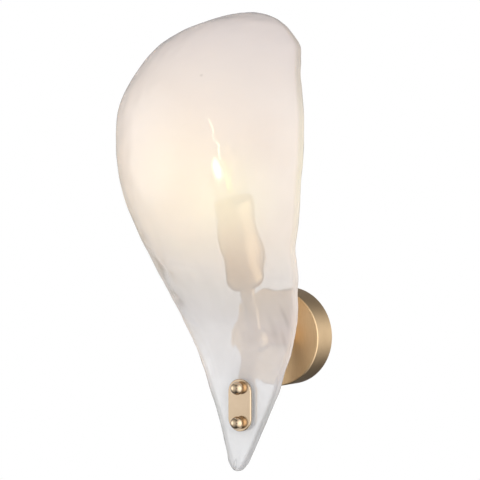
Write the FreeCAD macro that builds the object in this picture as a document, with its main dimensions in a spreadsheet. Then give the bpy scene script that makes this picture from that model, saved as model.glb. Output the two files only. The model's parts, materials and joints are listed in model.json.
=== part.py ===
import FreeCAD
import Part
import math
import os

import Sketcher
from FreeCAD import Rotation, Vector

# Wall sconce with one large petal of glass, in millimetres.
# The origin lies on the wall at the canopy's axis. +X is to the right, +Z up and +Y into the wall,
# so a distance "out" from the wall is along -Y.

SIZES = {
    # canopy
    "canopy_dia": 100.0,
    "canopy_depth": 30.0,
    "canopy_wall": 1.2,
    "canopy_round": 1.5,
    # wall strap
    "strap_width": 20.0,
    "strap_thick": 2.0,
    "strap_shoulder": 43.0,
    "ear_width": 12.0,
    "ear_height": 14.0,
    "ear_gap": 0.8,
    "slot_spacing": 60.0,
    "slot_width": 5.0,
    "slot_length": 14.0,
    "cable_hole": 12.0,
    "tab_reach": 40.0,
    "tab_height": 28.0,
    "side_screw_dia": 4.0,
    "side_screw_length": 8.0,
    "side_screw_out": 9.0,
    "side_socket": 2.0,
    # arm from the canopy to the ball
    "nipple_dia": 10.0,
    "wireway": 7.0,
    "nipple_inside": 7.8,
    "nipple_grip": 11.0,
    "nut_flats": 14.0,
    "nut_thick": 3.0,
    "washer_dia": 18.0,
    "washer_thick": 1.5,
    "flange_dia": 20.0,
    "flange_thick": 3.0,
    "neck_dia": 13.0,
    "hub_reach": 64.4,
    "ball_dia": 26.0,
    "ball_flat": 10.6,
    # lamp rod and cup
    "lamp_lean_angle": 18.5,
    "rod_dia": 12.0,
    "rod_seat": 6.5,
    "rod_length": 50.5,
    "spigot_length": 29.0,
    "cup_dia": 40.0,
    "cup_length": 88.0,
    "cup_wall": 1.2,
    "cup_round": 12.0,
    # lampholder
    "holder_rise": 23.0,
    "holder_dia": 27.0,
    "holder_wall": 2.0,
    "dome_height": 19.0,
    "dome_floor": 5.0,
    "dome_round": 4.0,
    "insert_foot": 4.0,
    "insert_flange": 3.0,
    "insert_boss": 5.0,
    "barrel_length": 35.0,
    "barrel_lip": 2.0,
    "barrel_mouth": 18.4,
    "terminal_offset": 7.0,
    "terminal_dia": 4.0,
    "terminal_length": 8.0,
    "shell_bore": 14.0,
    "shell_wall": 0.5,
    "shell_length": 27.0,
    "contact_height": 4.0,
    # bulb
    "cap_dia": 13.9,
    "cap_wall": 0.45,
    "cap_length": 18.0,
    "cap_nose": 5.0,
    "skirt_length": 6.0,
    "skirt_dia": 17.4,
    "bulb_dia": 35.0,
    "bulb_length": 89.0,
    "bulb_wall": 0.8,
    "stem_height": 13.0,
    "filament_length": 33.0,
    "filament_dia": 1.6,
    # bracket that carries the glass
    "bracket_width": 18.0,
    "bracket_thick": 3.0,
    "bracket_top": 11.0,
    "bracket_step": 5.9,
    "bracket_bend_top": 15.0,
    "bracket_bend_low": 36.0,
    "bend_round": 3.0,
    "bracket_screw_dia": 5.0,
    "bracket_socket": 3.0,
    # clamp on the glass
    "clamp_drop": 63.3,
    "clamp_width": 26.0,
    "clamp_height": 51.5,
    "back_plate_thick": 3.0,
    "front_plate_thick": 2.4,
    "plate_bevel": 0.6,
    "rear_pad": 1.7,
    "front_pad": 1.3,
    "bolt_spacing": 34.0,
    "bolt_dia": 5.0,
    "bolt_head_flats": 8.0,
    "bolt_head_height": 3.5,
    "bolt_grip": 7.8,
    "sleeve_wall": 1.4,
    "nut_ball_dia": 13.0,
    "nut_ball_rise": 4.05,
    # glass petal
    "glass_thick": 6.0,
    "glass_width": 213.2,
    "glass_height": 451.0,
    "glass_bulge": 105.2,
    # terminal block
    "block_length": 26.0,
    "block_depth": 17.0,
    "block_height": 13.0,
    "block_offset": 21.0,
    "pole_pitch": 8.0,
    "pole_height": 6.0,
    "clamp_tube": 5.0,
    "clamp_bore": 2.4,
    "clamp_screw": 3.0,
    "block_screw": 2.5,
    # earth
    "earth_screw_up": 19.0,
    "earth_screw_dia": 4.0,
    "lug_dia": 8.4,
    "lug_thick": 0.8,
    "lug_barrel": 3.4,
    # wires
    "wire_dia": 1.8,
    "wire_side": 1.6,
    # clearances
    "thread_gap": 0.05,
    "hole_gap": 0.1,
}

doc = FreeCAD.newDocument("shell_wall_sconce")
sheet = doc.addObject("Spreadsheet::Sheet", "Sizes")
for row, (alias, number) in enumerate(SIZES.items(), start=1):
    sheet.set("A%d" % row, alias)
    sheet.set("B%d" % row, str(number))
    sheet.setAlias("B%d" % row, alias)
doc.recompute()


class Size:
    """A number and the sheet expression that gives it, kept together through plain arithmetic."""

    def __init__(self, value, text):
        self.value = float(value)
        self.text = text

    @staticmethod
    def of(other):
        if isinstance(other, Size):
            return other
        return Size(other, repr(float(other)))

    def __add__(self, other):
        other = Size.of(other)
        return Size(self.value + other.value, "(%s + %s)" % (self.text, other.text))

    def __radd__(self, other):
        return Size.of(other) + self

    def __sub__(self, other):
        other = Size.of(other)
        return Size(self.value - other.value, "(%s - %s)" % (self.text, other.text))

    def __rsub__(self, other):
        return Size.of(other) - self

    def __mul__(self, other):
        other = Size.of(other)
        return Size(self.value * other.value, "(%s * %s)" % (self.text, other.text))

    def __rmul__(self, other):
        return Size.of(other) * self

    def __truediv__(self, other):
        other = Size.of(other)
        return Size(self.value / other.value, "(%s / %s)" % (self.text, other.text))

    def __neg__(self):
        return Size(-self.value, "(-%s)" % self.text)


def size(alias):
    return Size(sheet.get(alias), "Sizes.%s" % alias)


LEAN = size("lamp_lean_angle")
SIN_LEAN = Size(math.sin(math.radians(LEAN.value)), "sin(%s * 1 deg)" % LEAN.text)
COS_LEAN = Size(math.cos(math.radians(LEAN.value)), "cos(%s * 1 deg)" % LEAN.text)
HEX_RADIUS = 1 / math.sqrt(3)  # a hexagon's corner radius for each millimetre across its flats
OUTWARD = 90.0  # a quarter turn about X points a piece's own Z out from the wall
SAME = 0.01  # two lengths closer than this are taken as one
HEAD_SHARE = 1.8  # radius of a screw's head for each millimetre of its shank's radius
HEAD_HEIGHT = 1.2  # height of a screw's head for each millimetre of its shank's radius
SOCKET_DEPTH = 0.8  # depth of a screw's socket for each millimetre of its shank's radius
LUG_TURN = 45.0  # the lug's barrel points down towards the terminal block

# ---------------------------------------------------------------- shared heights and distances
# Distances out from the wall
strap_front = size("strap_thick")
canopy_face = size("canopy_depth")
canopy_inside = canopy_face - size("canopy_wall")
washer_back = canopy_inside - size("washer_thick")
nut_back = washer_back - size("nut_thick")
nipple_back = canopy_face - size("canopy_wall") - size("nipple_inside")
nipple_front = canopy_face + size("nipple_grip")
hub_reach = size("hub_reach")
hub_front = hub_reach + size("ball_flat")
hub_screw_depth = (size("ball_flat") - size("wireway") / 2) * 3 / 4
leg_back = hub_front + size("bracket_step")
leg_front = leg_back + size("bracket_thick")
back_plate_front = leg_front + size("back_plate_thick")
glass_inside = back_plate_front + size("rear_pad")
glass_outside = glass_inside + size("glass_thick")
front_plate_back = glass_outside + size("front_pad")
front_plate_front = front_plate_back + size("front_plate_thick")
ball_nut_centre = front_plate_front + size("nut_ball_rise")
bolt_end = front_plate_front + size("bolt_grip")

# Heights of the two bolts
bolt_heights = {
    "upper": -size("clamp_drop") + size("bolt_spacing") / 2,
    "lower": -size("clamp_drop") - size("bolt_spacing") / 2,
}

# Distances along the lamp's leaning axis, from the middle of the ball
rod_start = size("rod_seat")
cup_floor = rod_start + size("rod_length")
cup_nut_start = cup_floor + size("cup_wall")
spigot_end = cup_floor + size("spigot_length")
holder_start = cup_floor + size("holder_rise")
dome_top = holder_start + size("dome_height")
insert_start = dome_top - size("insert_foot")
flange_top = dome_top + size("insert_flange")
insert_top = flange_top + size("insert_boss")
barrel_top = flange_top + size("barrel_length")
contact_top = insert_top + size("contact_height")
cap_start = contact_top + size("cap_nose")
cap_thread_top = cap_start + size("cap_length")
skirt_top = cap_thread_top + size("skirt_length")
shell_top = insert_top + size("shell_length")

# Length of the barrel on the earth lug
lug_barrel_length = size("lug_dia") * 4 / 5

parts = {}


# ---------------------------------------------------------------- building blocks
def bind(obj, name, amount):
    obj.setExpression(name, Size.of(amount).text)


def bind_place(obj, turn, base):
    """Turns an object about X by an angle and moves it to base, all three bound to the sheet."""
    turn = Size.of(turn)
    base = [Size.of(amount) for amount in base]
    obj.Placement = FreeCAD.Placement(
        Vector(*[amount.value for amount in base]), Rotation(Vector(1, 0, 0), turn.value)
    )
    for letter, amount in zip("xyz", base):
        bind(obj, "Placement.Base.%s" % letter, amount)
    obj.setExpression("Placement.Rotation.Angle", "%s * 1 deg" % turn.text)


def on_wall(obj, across=0, up=0, out=0):
    """Places an object with its own Z pointing out from the wall."""
    bind_place(obj, OUTWARD, (across, -Size.of(out), up))


def on_lamp(obj, along=0, across=0):
    """Places an object with its own Z along the leaning axis of the lamp."""
    along = Size.of(along)
    bind_place(obj, LEAN, (across, -(hub_reach + along * SIN_LEAN), along * COS_LEAN))


def new_body(name, place=on_wall):
    body = doc.addObject("PartDesign::Body", name)
    body.Label = name
    place(body)
    return body


def plane_of(body, role):
    for feature in body.Origin.OriginFeatures:
        if feature.Role == role:
            return feature
    raise ValueError("no plane " + role)


def new_sketch(body, role, name):
    sketch = body.newObject("Sketcher::SketchObject", name)
    sketch.AttachmentSupport = [(plane_of(body, role), "")]
    sketch.MapMode = "FlatFace"
    return sketch


def pin_point(sketch, shape, point, across, up):
    """Ties one point of a sketch to two sizes, measured from the sketch's origin."""
    for kind, amount in (("DistanceX", Size.of(across)), ("DistanceY", Size.of(up))):
        index = sketch.addConstraint(Sketcher.Constraint(kind, -1, 1, shape, point, amount.value))
        bind(sketch, "Constraints[%d]" % index, amount)


def polygon(sketch, points):
    """A closed outline of straight lines through points, each given by two sizes."""
    points = [(Size.of(a), Size.of(b)) for a, b in points]
    first = sketch.GeometryCount
    for index, (a, b) in enumerate(points):
        c, d = points[(index + 1) % len(points)]
        start = Vector(a.value, b.value, 0)
        end = Vector(c.value, d.value, 0)
        sketch.addGeometry(Part.LineSegment(start, end), False)
    for index, (a, b) in enumerate(points):
        following = first + (index + 1) % len(points)
        sketch.addConstraint(Sketcher.Constraint("Coincident", first + index, 2, following, 1))
        pin_point(sketch, first + index, 1, a, b)


def circle(sketch, across, up, radius):
    across, up, radius = Size.of(across), Size.of(up), Size.of(radius)
    centre = Vector(across.value, up.value, 0)
    shape = sketch.addGeometry(Part.Circle(centre, Vector(0, 0, 1), radius.value), False)
    index = sketch.addConstraint(Sketcher.Constraint("Radius", shape, radius.value))
    bind(sketch, "Constraints[%d]" % index, radius)
    pin_point(sketch, shape, 3, across, up)


def obround(sketch, up, length, width):
    """An upright slot outline centred on the vertical axis at height up."""
    up, length, width = Size.of(up), Size.of(length), Size.of(width)
    radius = width / 2
    top = up + length / 2 - radius
    low = up - length / 2 + radius
    r = radius.value
    plain = Vector(0, 0, 1)
    upper = sketch.addGeometry(
        Part.ArcOfCircle(Part.Circle(Vector(0, top.value, 0), plain, r), 0, math.pi), False
    )
    lower = sketch.addGeometry(
        Part.ArcOfCircle(Part.Circle(Vector(0, low.value, 0), plain, r), math.pi, 2 * math.pi), False
    )
    left = sketch.addGeometry(
        Part.LineSegment(Vector(-r, top.value, 0), Vector(-r, low.value, 0)), False
    )
    right = sketch.addGeometry(
        Part.LineSegment(Vector(r, low.value, 0), Vector(r, top.value, 0)), False
    )
    joins = ((upper, 2, left, 1), (left, 2, lower, 1), (lower, 2, right, 1), (right, 2, upper, 1))
    for a, end_a, b, end_b in joins:
        sketch.addConstraint(Sketcher.Constraint("Tangent", a, end_a, b, end_b))
    index = sketch.addConstraint(Sketcher.Constraint("Radius", upper, r))
    bind(sketch, "Constraints[%d]" % index, radius)
    pin_point(sketch, upper, 3, 0, top)
    pin_point(sketch, lower, 3, 0, low)


def pad(body, sketch, length, start=0, middle=False):
    """A pad along the sketch's own normal, from a height above its plane."""
    start = Size.of(start)
    sketch.AttachmentOffset = FreeCAD.Placement(Vector(0, 0, start.value), Rotation())
    bind(sketch, "AttachmentOffset.Base.z", start)
    feature = body.newObject("PartDesign::Pad", sketch.Name + "_pad")
    feature.Profile = sketch
    bind(feature, "Length", length)
    if middle:
        feature.SideType = "Symmetric"
    sketch.Visibility = False
    return feature


def pocket_through(body, sketch):
    """Holes right through the body, both ways from the sketch."""
    feature = body.newObject("PartDesign::Pocket", sketch.Name + "_pocket")
    feature.Profile = sketch
    feature.Type = "ThroughAll"
    feature.SideType = "Symmetric"
    sketch.Visibility = False
    return feature


def turned(name, points, place=on_wall):
    """A body turned about its own Z from points of radius and height."""
    body = new_body(name, place)
    sketch = new_sketch(body, "XZ_Plane", name + "_profile")
    polygon(sketch, points)
    feature = body.newObject("PartDesign::Revolution", name + "_turning")
    feature.Profile = sketch
    feature.ReferenceAxis = (sketch, ["V_Axis"])
    feature.Angle = 360.0
    sketch.Visibility = False
    doc.recompute()
    parts[name] = body
    return body


def matching_edges(shape, test):
    return ["Edge%d" % (i + 1) for i, edge in enumerate(shape.Edges) if test(edge)]


def round_edges(body, test, radius, kind="Fillet"):
    """Rounds or bevels the edges of a body's tip that pass a test."""
    doc.recompute()
    tip = body.Tip
    names = matching_edges(tip.Shape, test)
    if not names:
        raise ValueError("no edge to finish on " + body.Label)
    feature = body.newObject("PartDesign::" + kind, body.Name + "_" + kind.lower())
    feature.Base = (tip, names)
    bind(feature, "Radius" if kind == "Fillet" else "Size", radius)
    doc.recompute()
    return feature


def ring_at(radius, height):
    """A test for the full circle of a turned body at one radius and height."""
    radius, height = Size.of(radius).value, Size.of(height).value

    def test(edge):
        curve = edge.Curve
        return (
            isinstance(curve, Part.Circle)
            and abs(curve.Radius - radius) < SAME
            and abs(curve.Center.z - height) < SAME
            and math.hypot(curve.Center.x, curve.Center.y) < SAME
        )

    return test


def cylinder(name, radius, height, place, **where):
    obj = doc.addObject("Part::Cylinder", name)
    bind(obj, "Radius", radius)
    bind(obj, "Height", height)
    place(obj, **where)
    return obj


def hexagon(name, flats, height, place, **where):
    obj = doc.addObject("Part::Prism", name)
    obj.Polygon = 6
    bind(obj, "Circumradius", Size.of(flats) * HEX_RADIUS)
    bind(obj, "Height", height)
    place(obj, **where)
    return obj


def fused(name, pieces):
    obj = doc.addObject("Part::MultiFuse", name)
    obj.Shapes = pieces
    obj.Refine = True
    return obj


def cut(name, base, tools):
    """The base less every tool, one Part::Cut after another."""
    for index, tool in enumerate(tools):
        obj = doc.addObject("Part::Cut", "%s_cut%d" % (name, index))
        obj.Base = base
        obj.Tool = tool
        obj.Refine = True
        base = obj
    return base


def keep(name, obj):
    """Names an object as one finished piece."""
    obj.Label = name
    parts[name] = obj
    return obj


def together(name, pieces):
    obj = doc.addObject("Part::Compound", name)
    obj.Links = pieces
    return keep(name, obj)


# ---------------------------------------------------------------- wall side
def make_mounting_bracket():
    """Steel strap with two wall slots, a tab for the terminal block and two threaded ears."""
    ear_face = size("canopy_dia") / 2 - size("canopy_wall") - size("ear_gap")
    half = size("strap_width") / 2
    ear = size("ear_width") / 2
    shoulder = size("strap_shoulder")
    tab = size("tab_height") / 2
    body = new_body("mounting_bracket")
    strap = new_sketch(body, "XY_Plane", "strap_outline")
    polygon(strap, [
        (-ear, -ear_face), (ear, -ear_face), (ear, -shoulder), (half, -shoulder),
        (half, shoulder), (ear, shoulder), (ear, ear_face), (-ear, ear_face),
        (-ear, shoulder), (-half, shoulder), (-half, tab), (-size("tab_reach"), tab),
        (-size("tab_reach"), -tab), (-half, -tab), (-half, -shoulder), (-ear, -shoulder),
    ])
    pad(body, strap, size("strap_thick"))
    for name, sign in (("upper", 1), ("lower", -1)):
        ears = new_sketch(body, "XY_Plane", name + "_ear")
        outer = sign * ear_face
        inner = sign * (ear_face - size("strap_thick"))
        polygon(ears, [(-ear, outer), (ear, outer), (ear, inner), (-ear, inner)])
        pad(body, ears, size("ear_height"))
    holes = new_sketch(body, "XY_Plane", "strap_holes")
    for sign in (1, -1):
        obround(holes, sign * size("slot_spacing") / 2, size("slot_length"), size("slot_width"))
    circle(holes, 0, 0, size("cable_hole") / 2)
    circle(holes, 0, size("earth_screw_up"), size("earth_screw_dia") / 2 + size("thread_gap"))
    block_middle = -(size("block_offset") + size("block_depth") / 2)
    circle(holes, block_middle, size("pole_pitch") / 2, size("block_screw") / 2 + size("thread_gap"))
    pocket_through(body, holes)
    threads = new_sketch(body, "XZ_Plane", "ear_threads")
    circle(threads, 0, size("side_screw_out"), size("side_screw_dia") / 2 + size("thread_gap"))
    pocket_through(body, threads)
    parts["mounting_bracket"] = body


def make_canopy():
    """Round spun cup that hides the strap, with a small round on its front rim."""
    outer = size("canopy_dia") / 2
    inner = outer - size("canopy_wall")
    hole = size("nipple_dia") / 2 + size("hole_gap")
    body = turned("canopy_cover", [
        (hole, canopy_inside), (inner, canopy_inside), (inner, 0),
        (outer, 0), (outer, canopy_face), (hole, canopy_face),
    ])
    round_edges(body, ring_at(outer, canopy_face), size("canopy_round"))
    round_edges(body, ring_at(inner, canopy_inside), size("canopy_round") - size("canopy_wall") / 2)
    screws = new_sketch(body, "XZ_Plane", "side_screw_holes")
    circle(screws, 0, size("side_screw_out"), size("side_screw_dia") / 2 + size("hole_gap"))
    pocket_through(body, screws)


def make_canopy_screws():
    """Two socket set screws, flush in the canopy's wall and threaded into the strap's ears."""
    outer = size("canopy_dia") / 2
    length = size("side_screw_length")
    out = -size("side_screw_out")
    screws = []
    for name, turn, sign in (("upper", 180.0, 1), ("lower", 0.0, -1)):
        shank = doc.addObject("Part::Cylinder", name + "_set_screw_shank")
        bind(shank, "Radius", size("side_screw_dia") / 2)
        bind(shank, "Height", length)
        bind_place(shank, turn, (0, out, sign * outer))
        socket = doc.addObject("Part::Prism", name + "_set_screw_socket")
        socket.Polygon = 6
        bind(socket, "Circumradius", size("side_socket") * HEX_RADIUS)
        bind(socket, "Height", length / 3)
        bind_place(socket, turn, (0, out, sign * outer))
        screws.append(cut(name + "_set_screw", shank, [socket]))
    together("canopy_screws", screws)


def make_earth():
    """Earth screw on the strap, and the crimped lug under its head."""
    up = size("earth_screw_up")
    radius = size("earth_screw_dia") / 2
    lug_top = strap_front + size("lug_thick")
    head_radius = radius * HEAD_SHARE
    head_height = radius * HEAD_HEIGHT
    shank = cylinder("earth_shank", radius, lug_top, on_wall, up=up)
    head = cylinder("earth_head", head_radius, head_height, on_wall, up=up, out=lug_top)
    slot = doc.addObject("Part::Box", "earth_slot")
    bind(slot, "Length", head_radius * 2)
    bind(slot, "Width", size("lug_thick"))
    bind(slot, "Height", size("lug_thick"))
    on_wall(
        slot, across=-head_radius, up=up - size("lug_thick") / 2,
        out=lug_top + head_height - size("lug_thick"),
    )
    keep("earth_screw", cut("earth_screw", fused("earth_screw_blank", [shank, head]), [slot]))

    barrel_radius = size("lug_barrel") / 2
    ring_radius = size("lug_dia") / 2
    lug = doc.addObject("Part::Feature", "earth_lug")
    ring = Part.makeCylinder(ring_radius.value, size("lug_thick").value)
    tongue_end = ring_radius + barrel_radius
    tongue = Part.makeBox(
        tongue_end.value, size("lug_barrel").value, size("lug_thick").value,
        Vector(-tongue_end.value, -barrel_radius.value, 0),
    )
    barrel = Part.makeCylinder(
        barrel_radius.value, lug_barrel_length.value,
        Vector(-tongue_end.value + barrel_radius.value, 0, barrel_radius.value), Vector(-1, 0, 0),
    )
    hole = Part.makeCylinder(
        size("wire_dia").value / 2 + size("hole_gap").value, lug_barrel_length.value,
        Vector(-tongue_end.value + barrel_radius.value - size("lug_thick").value, 0, barrel_radius.value),
        Vector(-1, 0, 0),
    )
    screw = Part.makeCylinder((radius + size("hole_gap")).value, size("lug_thick").value)
    lug.Shape = ring.fuse([tongue, barrel]).removeSplitter().cut([hole, screw])
    place = FreeCAD.Placement(
        Vector(0, -strap_front.value, up.value), Rotation(Vector(1, 0, 0), OUTWARD)
    )
    lug.Placement = place.multiply(FreeCAD.Placement(Vector(), Rotation(Vector(0, 0, 1), LUG_TURN)))
    keep("earth_lug", lug)


def make_terminal_block():
    """Three-pole block on the strap's tab, with brass clamps and their screws."""
    depth = size("block_depth")
    left = -(size("block_offset") + depth)
    middle = -(size("block_offset") + depth / 2)
    half = size("block_length") / 2
    tube = size("clamp_tube") / 2
    level = strap_front + size("pole_height")
    top = strap_front + size("block_height")
    screw_radius = size("clamp_screw") / 2
    body = new_body("terminal_block")
    outline = new_sketch(body, "XY_Plane", "block_outline")
    polygon(outline, [
        (left, -half), (-size("block_offset"), -half), (-size("block_offset"), half), (left, half),
    ])
    pad(body, outline, size("block_height"), start=strap_front)
    bores = new_sketch(body, "YZ_Plane", "block_bores")
    wells = new_sketch(body, "XY_Plane", "block_wells")
    poles = [pole * size("pole_pitch") for pole in (1, 0, -1)]
    for pole in poles:
        circle(bores, pole, level, tube + size("thread_gap"))
        for side in (-1, 1):
            circle(wells, middle + side * depth / 4, pole, screw_radius + size("hole_gap"))
    circle(wells, middle, size("pole_pitch") / 2, size("block_screw") / 2 + size("hole_gap"))
    pocket_through(body, bores)
    cutter = body.newObject("PartDesign::Pocket", "block_wells_pocket")
    wells.AttachmentOffset = FreeCAD.Placement(Vector(0, 0, level.value), Rotation())
    bind(wells, "AttachmentOffset.Base.z", level)
    cutter.Profile = wells
    cutter.Type = "ThroughAll"
    cutter.Reversed = True
    wells.Visibility = False
    fixing = new_sketch(body, "XY_Plane", "block_fixing")
    circle(fixing, middle, size("pole_pitch") / 2, size("block_screw") / 2 + size("hole_gap"))
    pocket_through(body, fixing)
    parts["terminal_block"] = body

    clamps = []
    screws = []
    screw_length = size("block_height") - size("pole_height") - size("lug_thick")
    for index, pole in enumerate(poles):
        rod = doc.addObject("Part::Cylinder", "pole_tube%d" % index)
        bore = doc.addObject("Part::Cylinder", "pole_bore%d" % index)
        for piece, radius in ((rod, tube), (bore, size("clamp_bore") / 2)):
            bind(piece, "Radius", radius)
            bind(piece, "Height", depth - 2 * size("lug_thick"))
            across = left + size("lug_thick")
            piece.Placement = FreeCAD.Placement(
                Vector(across.value, -level.value, pole.value), Rotation(Vector(0, 1, 0), 90.0)
            )
            bind(piece, "Placement.Base.x", across)
            bind(piece, "Placement.Base.y", -level)
            bind(piece, "Placement.Base.z", pole)
        holes = []
        for side in (-1, 1):
            spot = middle + side * depth / 4
            name = "pole%d_screw%d" % (index, side + 1)
            foot = level + size("clamp_bore") / 2
            holes.append(cylinder(
                name + "_hole", screw_radius + size("thread_gap"), tube * 2, on_wall,
                across=spot, up=pole, out=level,
            ))
            shank = cylinder(
                name, screw_radius, screw_length - size("clamp_bore") / 2, on_wall,
                across=spot, up=pole, out=foot,
            )
            slot = doc.addObject("Part::Box", name + "_slot")
            bind(slot, "Length", screw_radius * 2)
            bind(slot, "Width", size("lug_thick"))
            bind(slot, "Height", size("lug_thick"))
            on_wall(
                slot, across=spot - screw_radius, up=pole - size("lug_thick") / 2,
                out=level + screw_length - size("lug_thick"),
            )
            screws.append(cut(name, shank, [slot]))
        clamps.append(cut("pole%d" % index, rod, [bore] + holes))
    together("terminal_clamps", clamps)
    together("terminal_screws", screws)

    fixing_radius = size("block_screw") / 2
    shank = cylinder(
        "block_screw_shank", fixing_radius, size("block_height") + strap_front, on_wall,
        across=middle, up=size("pole_pitch") / 2,
    )
    head = cylinder(
        "block_screw_head", fixing_radius * HEAD_SHARE, fixing_radius * HEAD_HEIGHT, on_wall,
        across=middle, up=size("pole_pitch") / 2, out=top,
    )
    keep("block_screw", fused("block_screw", [shank, head]))


# ---------------------------------------------------------------- arm
def make_arm():
    """Threaded nipple through the canopy, its washer and nut, and the ball that it screws into."""
    thread = size("nipple_dia") / 2
    wire = size("wireway") / 2
    turned("arm_nipple", [
        (wire, nipple_back), (thread, nipple_back), (thread, nipple_front), (wire, nipple_front),
    ])
    turned("nipple_washer", [
        (thread + size("hole_gap"), washer_back), (size("washer_dia") / 2, washer_back),
        (size("washer_dia") / 2, canopy_inside), (thread + size("hole_gap"), canopy_inside),
    ])
    blank = hexagon("nipple_nut_blank", size("nut_flats"), size("nut_thick"), on_wall, out=nut_back)
    bore = cylinder(
        "nipple_nut_bore", thread + size("thread_gap"), size("nut_thick"), on_wall, out=nut_back
    )
    keep("nipple_nut", cut("nipple_nut", blank, [bore]))

    flange = cylinder("hub_flange", size("flange_dia") / 2, size("flange_thick"), on_wall, out=canopy_face)
    neck = cylinder("hub_neck", size("neck_dia") / 2, hub_reach - canopy_face, on_wall, out=canopy_face)
    ball = doc.addObject("Part::Sphere", "hub_ball")
    bind(ball, "Radius", size("ball_dia") / 2)
    on_wall(ball, out=hub_reach)
    front = cylinder("hub_front_face", size("ball_dia") / 2, size("ball_dia") / 2, on_wall, out=hub_front)
    socket_bore = cylinder(
        "hub_thread", thread + size("thread_gap"), size("nipple_grip"), on_wall, out=canopy_face
    )
    wireway = cylinder("hub_wireway", wire, hub_reach + wire - canopy_face, on_wall, out=canopy_face)
    screw_hole = cylinder(
        "hub_screw_hole", size("bracket_screw_dia") / 2 + size("thread_gap"), hub_screw_depth, on_wall,
        out=hub_front - hub_screw_depth,
    )
    rod_socket = cylinder(
        "hub_rod_socket", size("rod_dia") / 2 + size("thread_gap"), size("ball_dia") / 2, on_lamp,
        along=rod_start,
    )
    rise = cylinder("hub_rise", wire, rod_start + size("hole_gap"), on_lamp)
    blank = fused("arm_hub_blank", [flange, neck, ball])
    keep("arm_hub", cut("arm_hub", blank, [front, socket_bore, wireway, screw_hole, rod_socket, rise]))


# ---------------------------------------------------------------- lamp rod, cup and lampholder
def make_rod_and_cup():
    outer = size("rod_dia") / 2
    thread = size("nipple_dia") / 2
    wire = size("wireway") / 2
    turned("lamp_rod", [
        (wire, rod_start), (outer, rod_start), (outer, cup_floor), (thread, cup_floor),
        (thread, spigot_end), (wire, spigot_end),
    ], on_lamp)

    radius = size("cup_dia") / 2
    inner = radius - size("cup_wall")
    hole = thread + size("hole_gap")
    rim = cup_floor + size("cup_length")
    body = turned("lampholder_cup", [
        (hole, cup_floor), (radius, cup_floor), (radius, rim), (inner, rim),
        (inner, cup_nut_start), (hole, cup_nut_start),
    ], on_lamp)
    round_edges(body, ring_at(radius, cup_floor), size("cup_round"))
    round_edges(body, ring_at(inner, cup_nut_start), size("cup_round") - size("cup_wall"))

    for name, start in (("cup_nut", cup_nut_start), ("holder_nut", holder_start - size("nut_thick"))):
        blank = hexagon(name + "_blank", size("nut_flats"), size("nut_thick"), on_lamp, along=start)
        bore = cylinder(
            name + "_bore", thread + size("thread_gap"), size("nut_thick"), on_lamp, along=start
        )
        keep(name, cut(name, blank, [bore]))


def make_lampholder():
    """Small screw-base lampholder: dome, insert with terminals, threaded shell and barrel."""
    outer = size("holder_dia") / 2
    inner = outer - size("holder_wall")
    thread = size("nipple_dia") / 2 + size("thread_gap")
    dome_inside = holder_start + size("dome_floor")
    dome = turned("holder_dome", [
        (thread, holder_start), (outer, holder_start), (outer, dome_top), (inner, dome_top),
        (inner, dome_inside), (thread, dome_inside),
    ], on_lamp)
    round_edges(dome, ring_at(outer, holder_start), size("dome_round"))

    seat = inner - size("hole_gap")
    insert = new_body("holder_insert", on_lamp)
    profile = new_sketch(insert, "XZ_Plane", "insert_profile")
    polygon(profile, [
        (0, insert_start), (seat, insert_start), (seat, dome_top), (outer, dome_top),
        (outer, flange_top), (seat, flange_top), (seat, insert_top), (0, insert_top),
    ])
    turning = insert.newObject("PartDesign::Revolution", "insert_turning")
    turning.Profile = profile
    turning.ReferenceAxis = (profile, ["V_Axis"])
    turning.Angle = 360.0
    profile.Visibility = False
    wells = new_sketch(insert, "XY_Plane", "insert_wells")
    for side in (-1, 1):
        circle(wells, side * size("terminal_offset"), 0, size("terminal_dia") / 2 + size("thread_gap"))
    wells.AttachmentOffset = FreeCAD.Placement(Vector(0, 0, insert_start.value), Rotation())
    bind(wells, "AttachmentOffset.Base.z", insert_start)
    cutter = insert.newObject("PartDesign::Pocket", "insert_wells_pocket")
    cutter.Profile = wells
    bind(cutter, "Length", size("terminal_length"))
    cutter.Reversed = True
    wells.Visibility = False
    parts["holder_insert"] = insert

    tubes = []
    for name, side in (("left", -1), ("right", 1)):
        where = {"along": insert_start, "across": side * size("terminal_offset")}
        tube = cylinder(
            name + "_terminal", size("terminal_dia") / 2, size("terminal_length"), on_lamp, **where
        )
        bore = cylinder(
            name + "_terminal_bore", size("wire_dia") / 2 + size("hole_gap"), size("terminal_length") / 2,
            on_lamp, **where
        )
        tubes.append(cut(name + "_terminal", tube, [bore]))
    together("holder_terminals", tubes)

    barrel_inside = size("shell_bore") / 2 + size("shell_wall")
    shell = size("shell_bore") / 2
    turned("screw_shell", [
        (shell, insert_top), (seat - size("hole_gap"), insert_top),
        (seat - size("hole_gap"), insert_top + size("lug_thick")),
        (barrel_inside, insert_top + size("lug_thick")),
        (barrel_inside, shell_top), (shell, shell_top),
    ], on_lamp)
    turned("centre_contact", [
        (0, insert_top), (shell / 2, insert_top), (shell / 2, insert_top + size("lug_thick")),
        (shell / 3, contact_top), (0, contact_top),
    ], on_lamp)
    mouth = size("barrel_mouth") / 2
    lip = barrel_top - size("barrel_lip")
    turned("holder_barrel", [
        (inner, flange_top), (outer, flange_top), (outer, barrel_top), (mouth, barrel_top),
        (mouth, lip), (inner, lip),
    ], on_lamp)


# ---------------------------------------------------------------- bulb
# Radius of the bulb's glass as a share of its largest, and height as a share of its length
BULB_PROFILE = [
    (0.47, 0.00), (0.50, 0.05), (0.74, 0.14), (0.96, 0.26), (1.00, 0.36),
    (0.92, 0.48), (0.66, 0.61), (0.38, 0.70), (0.20, 0.78), (0.11, 0.88), (0.07, 1.00),
]


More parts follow.
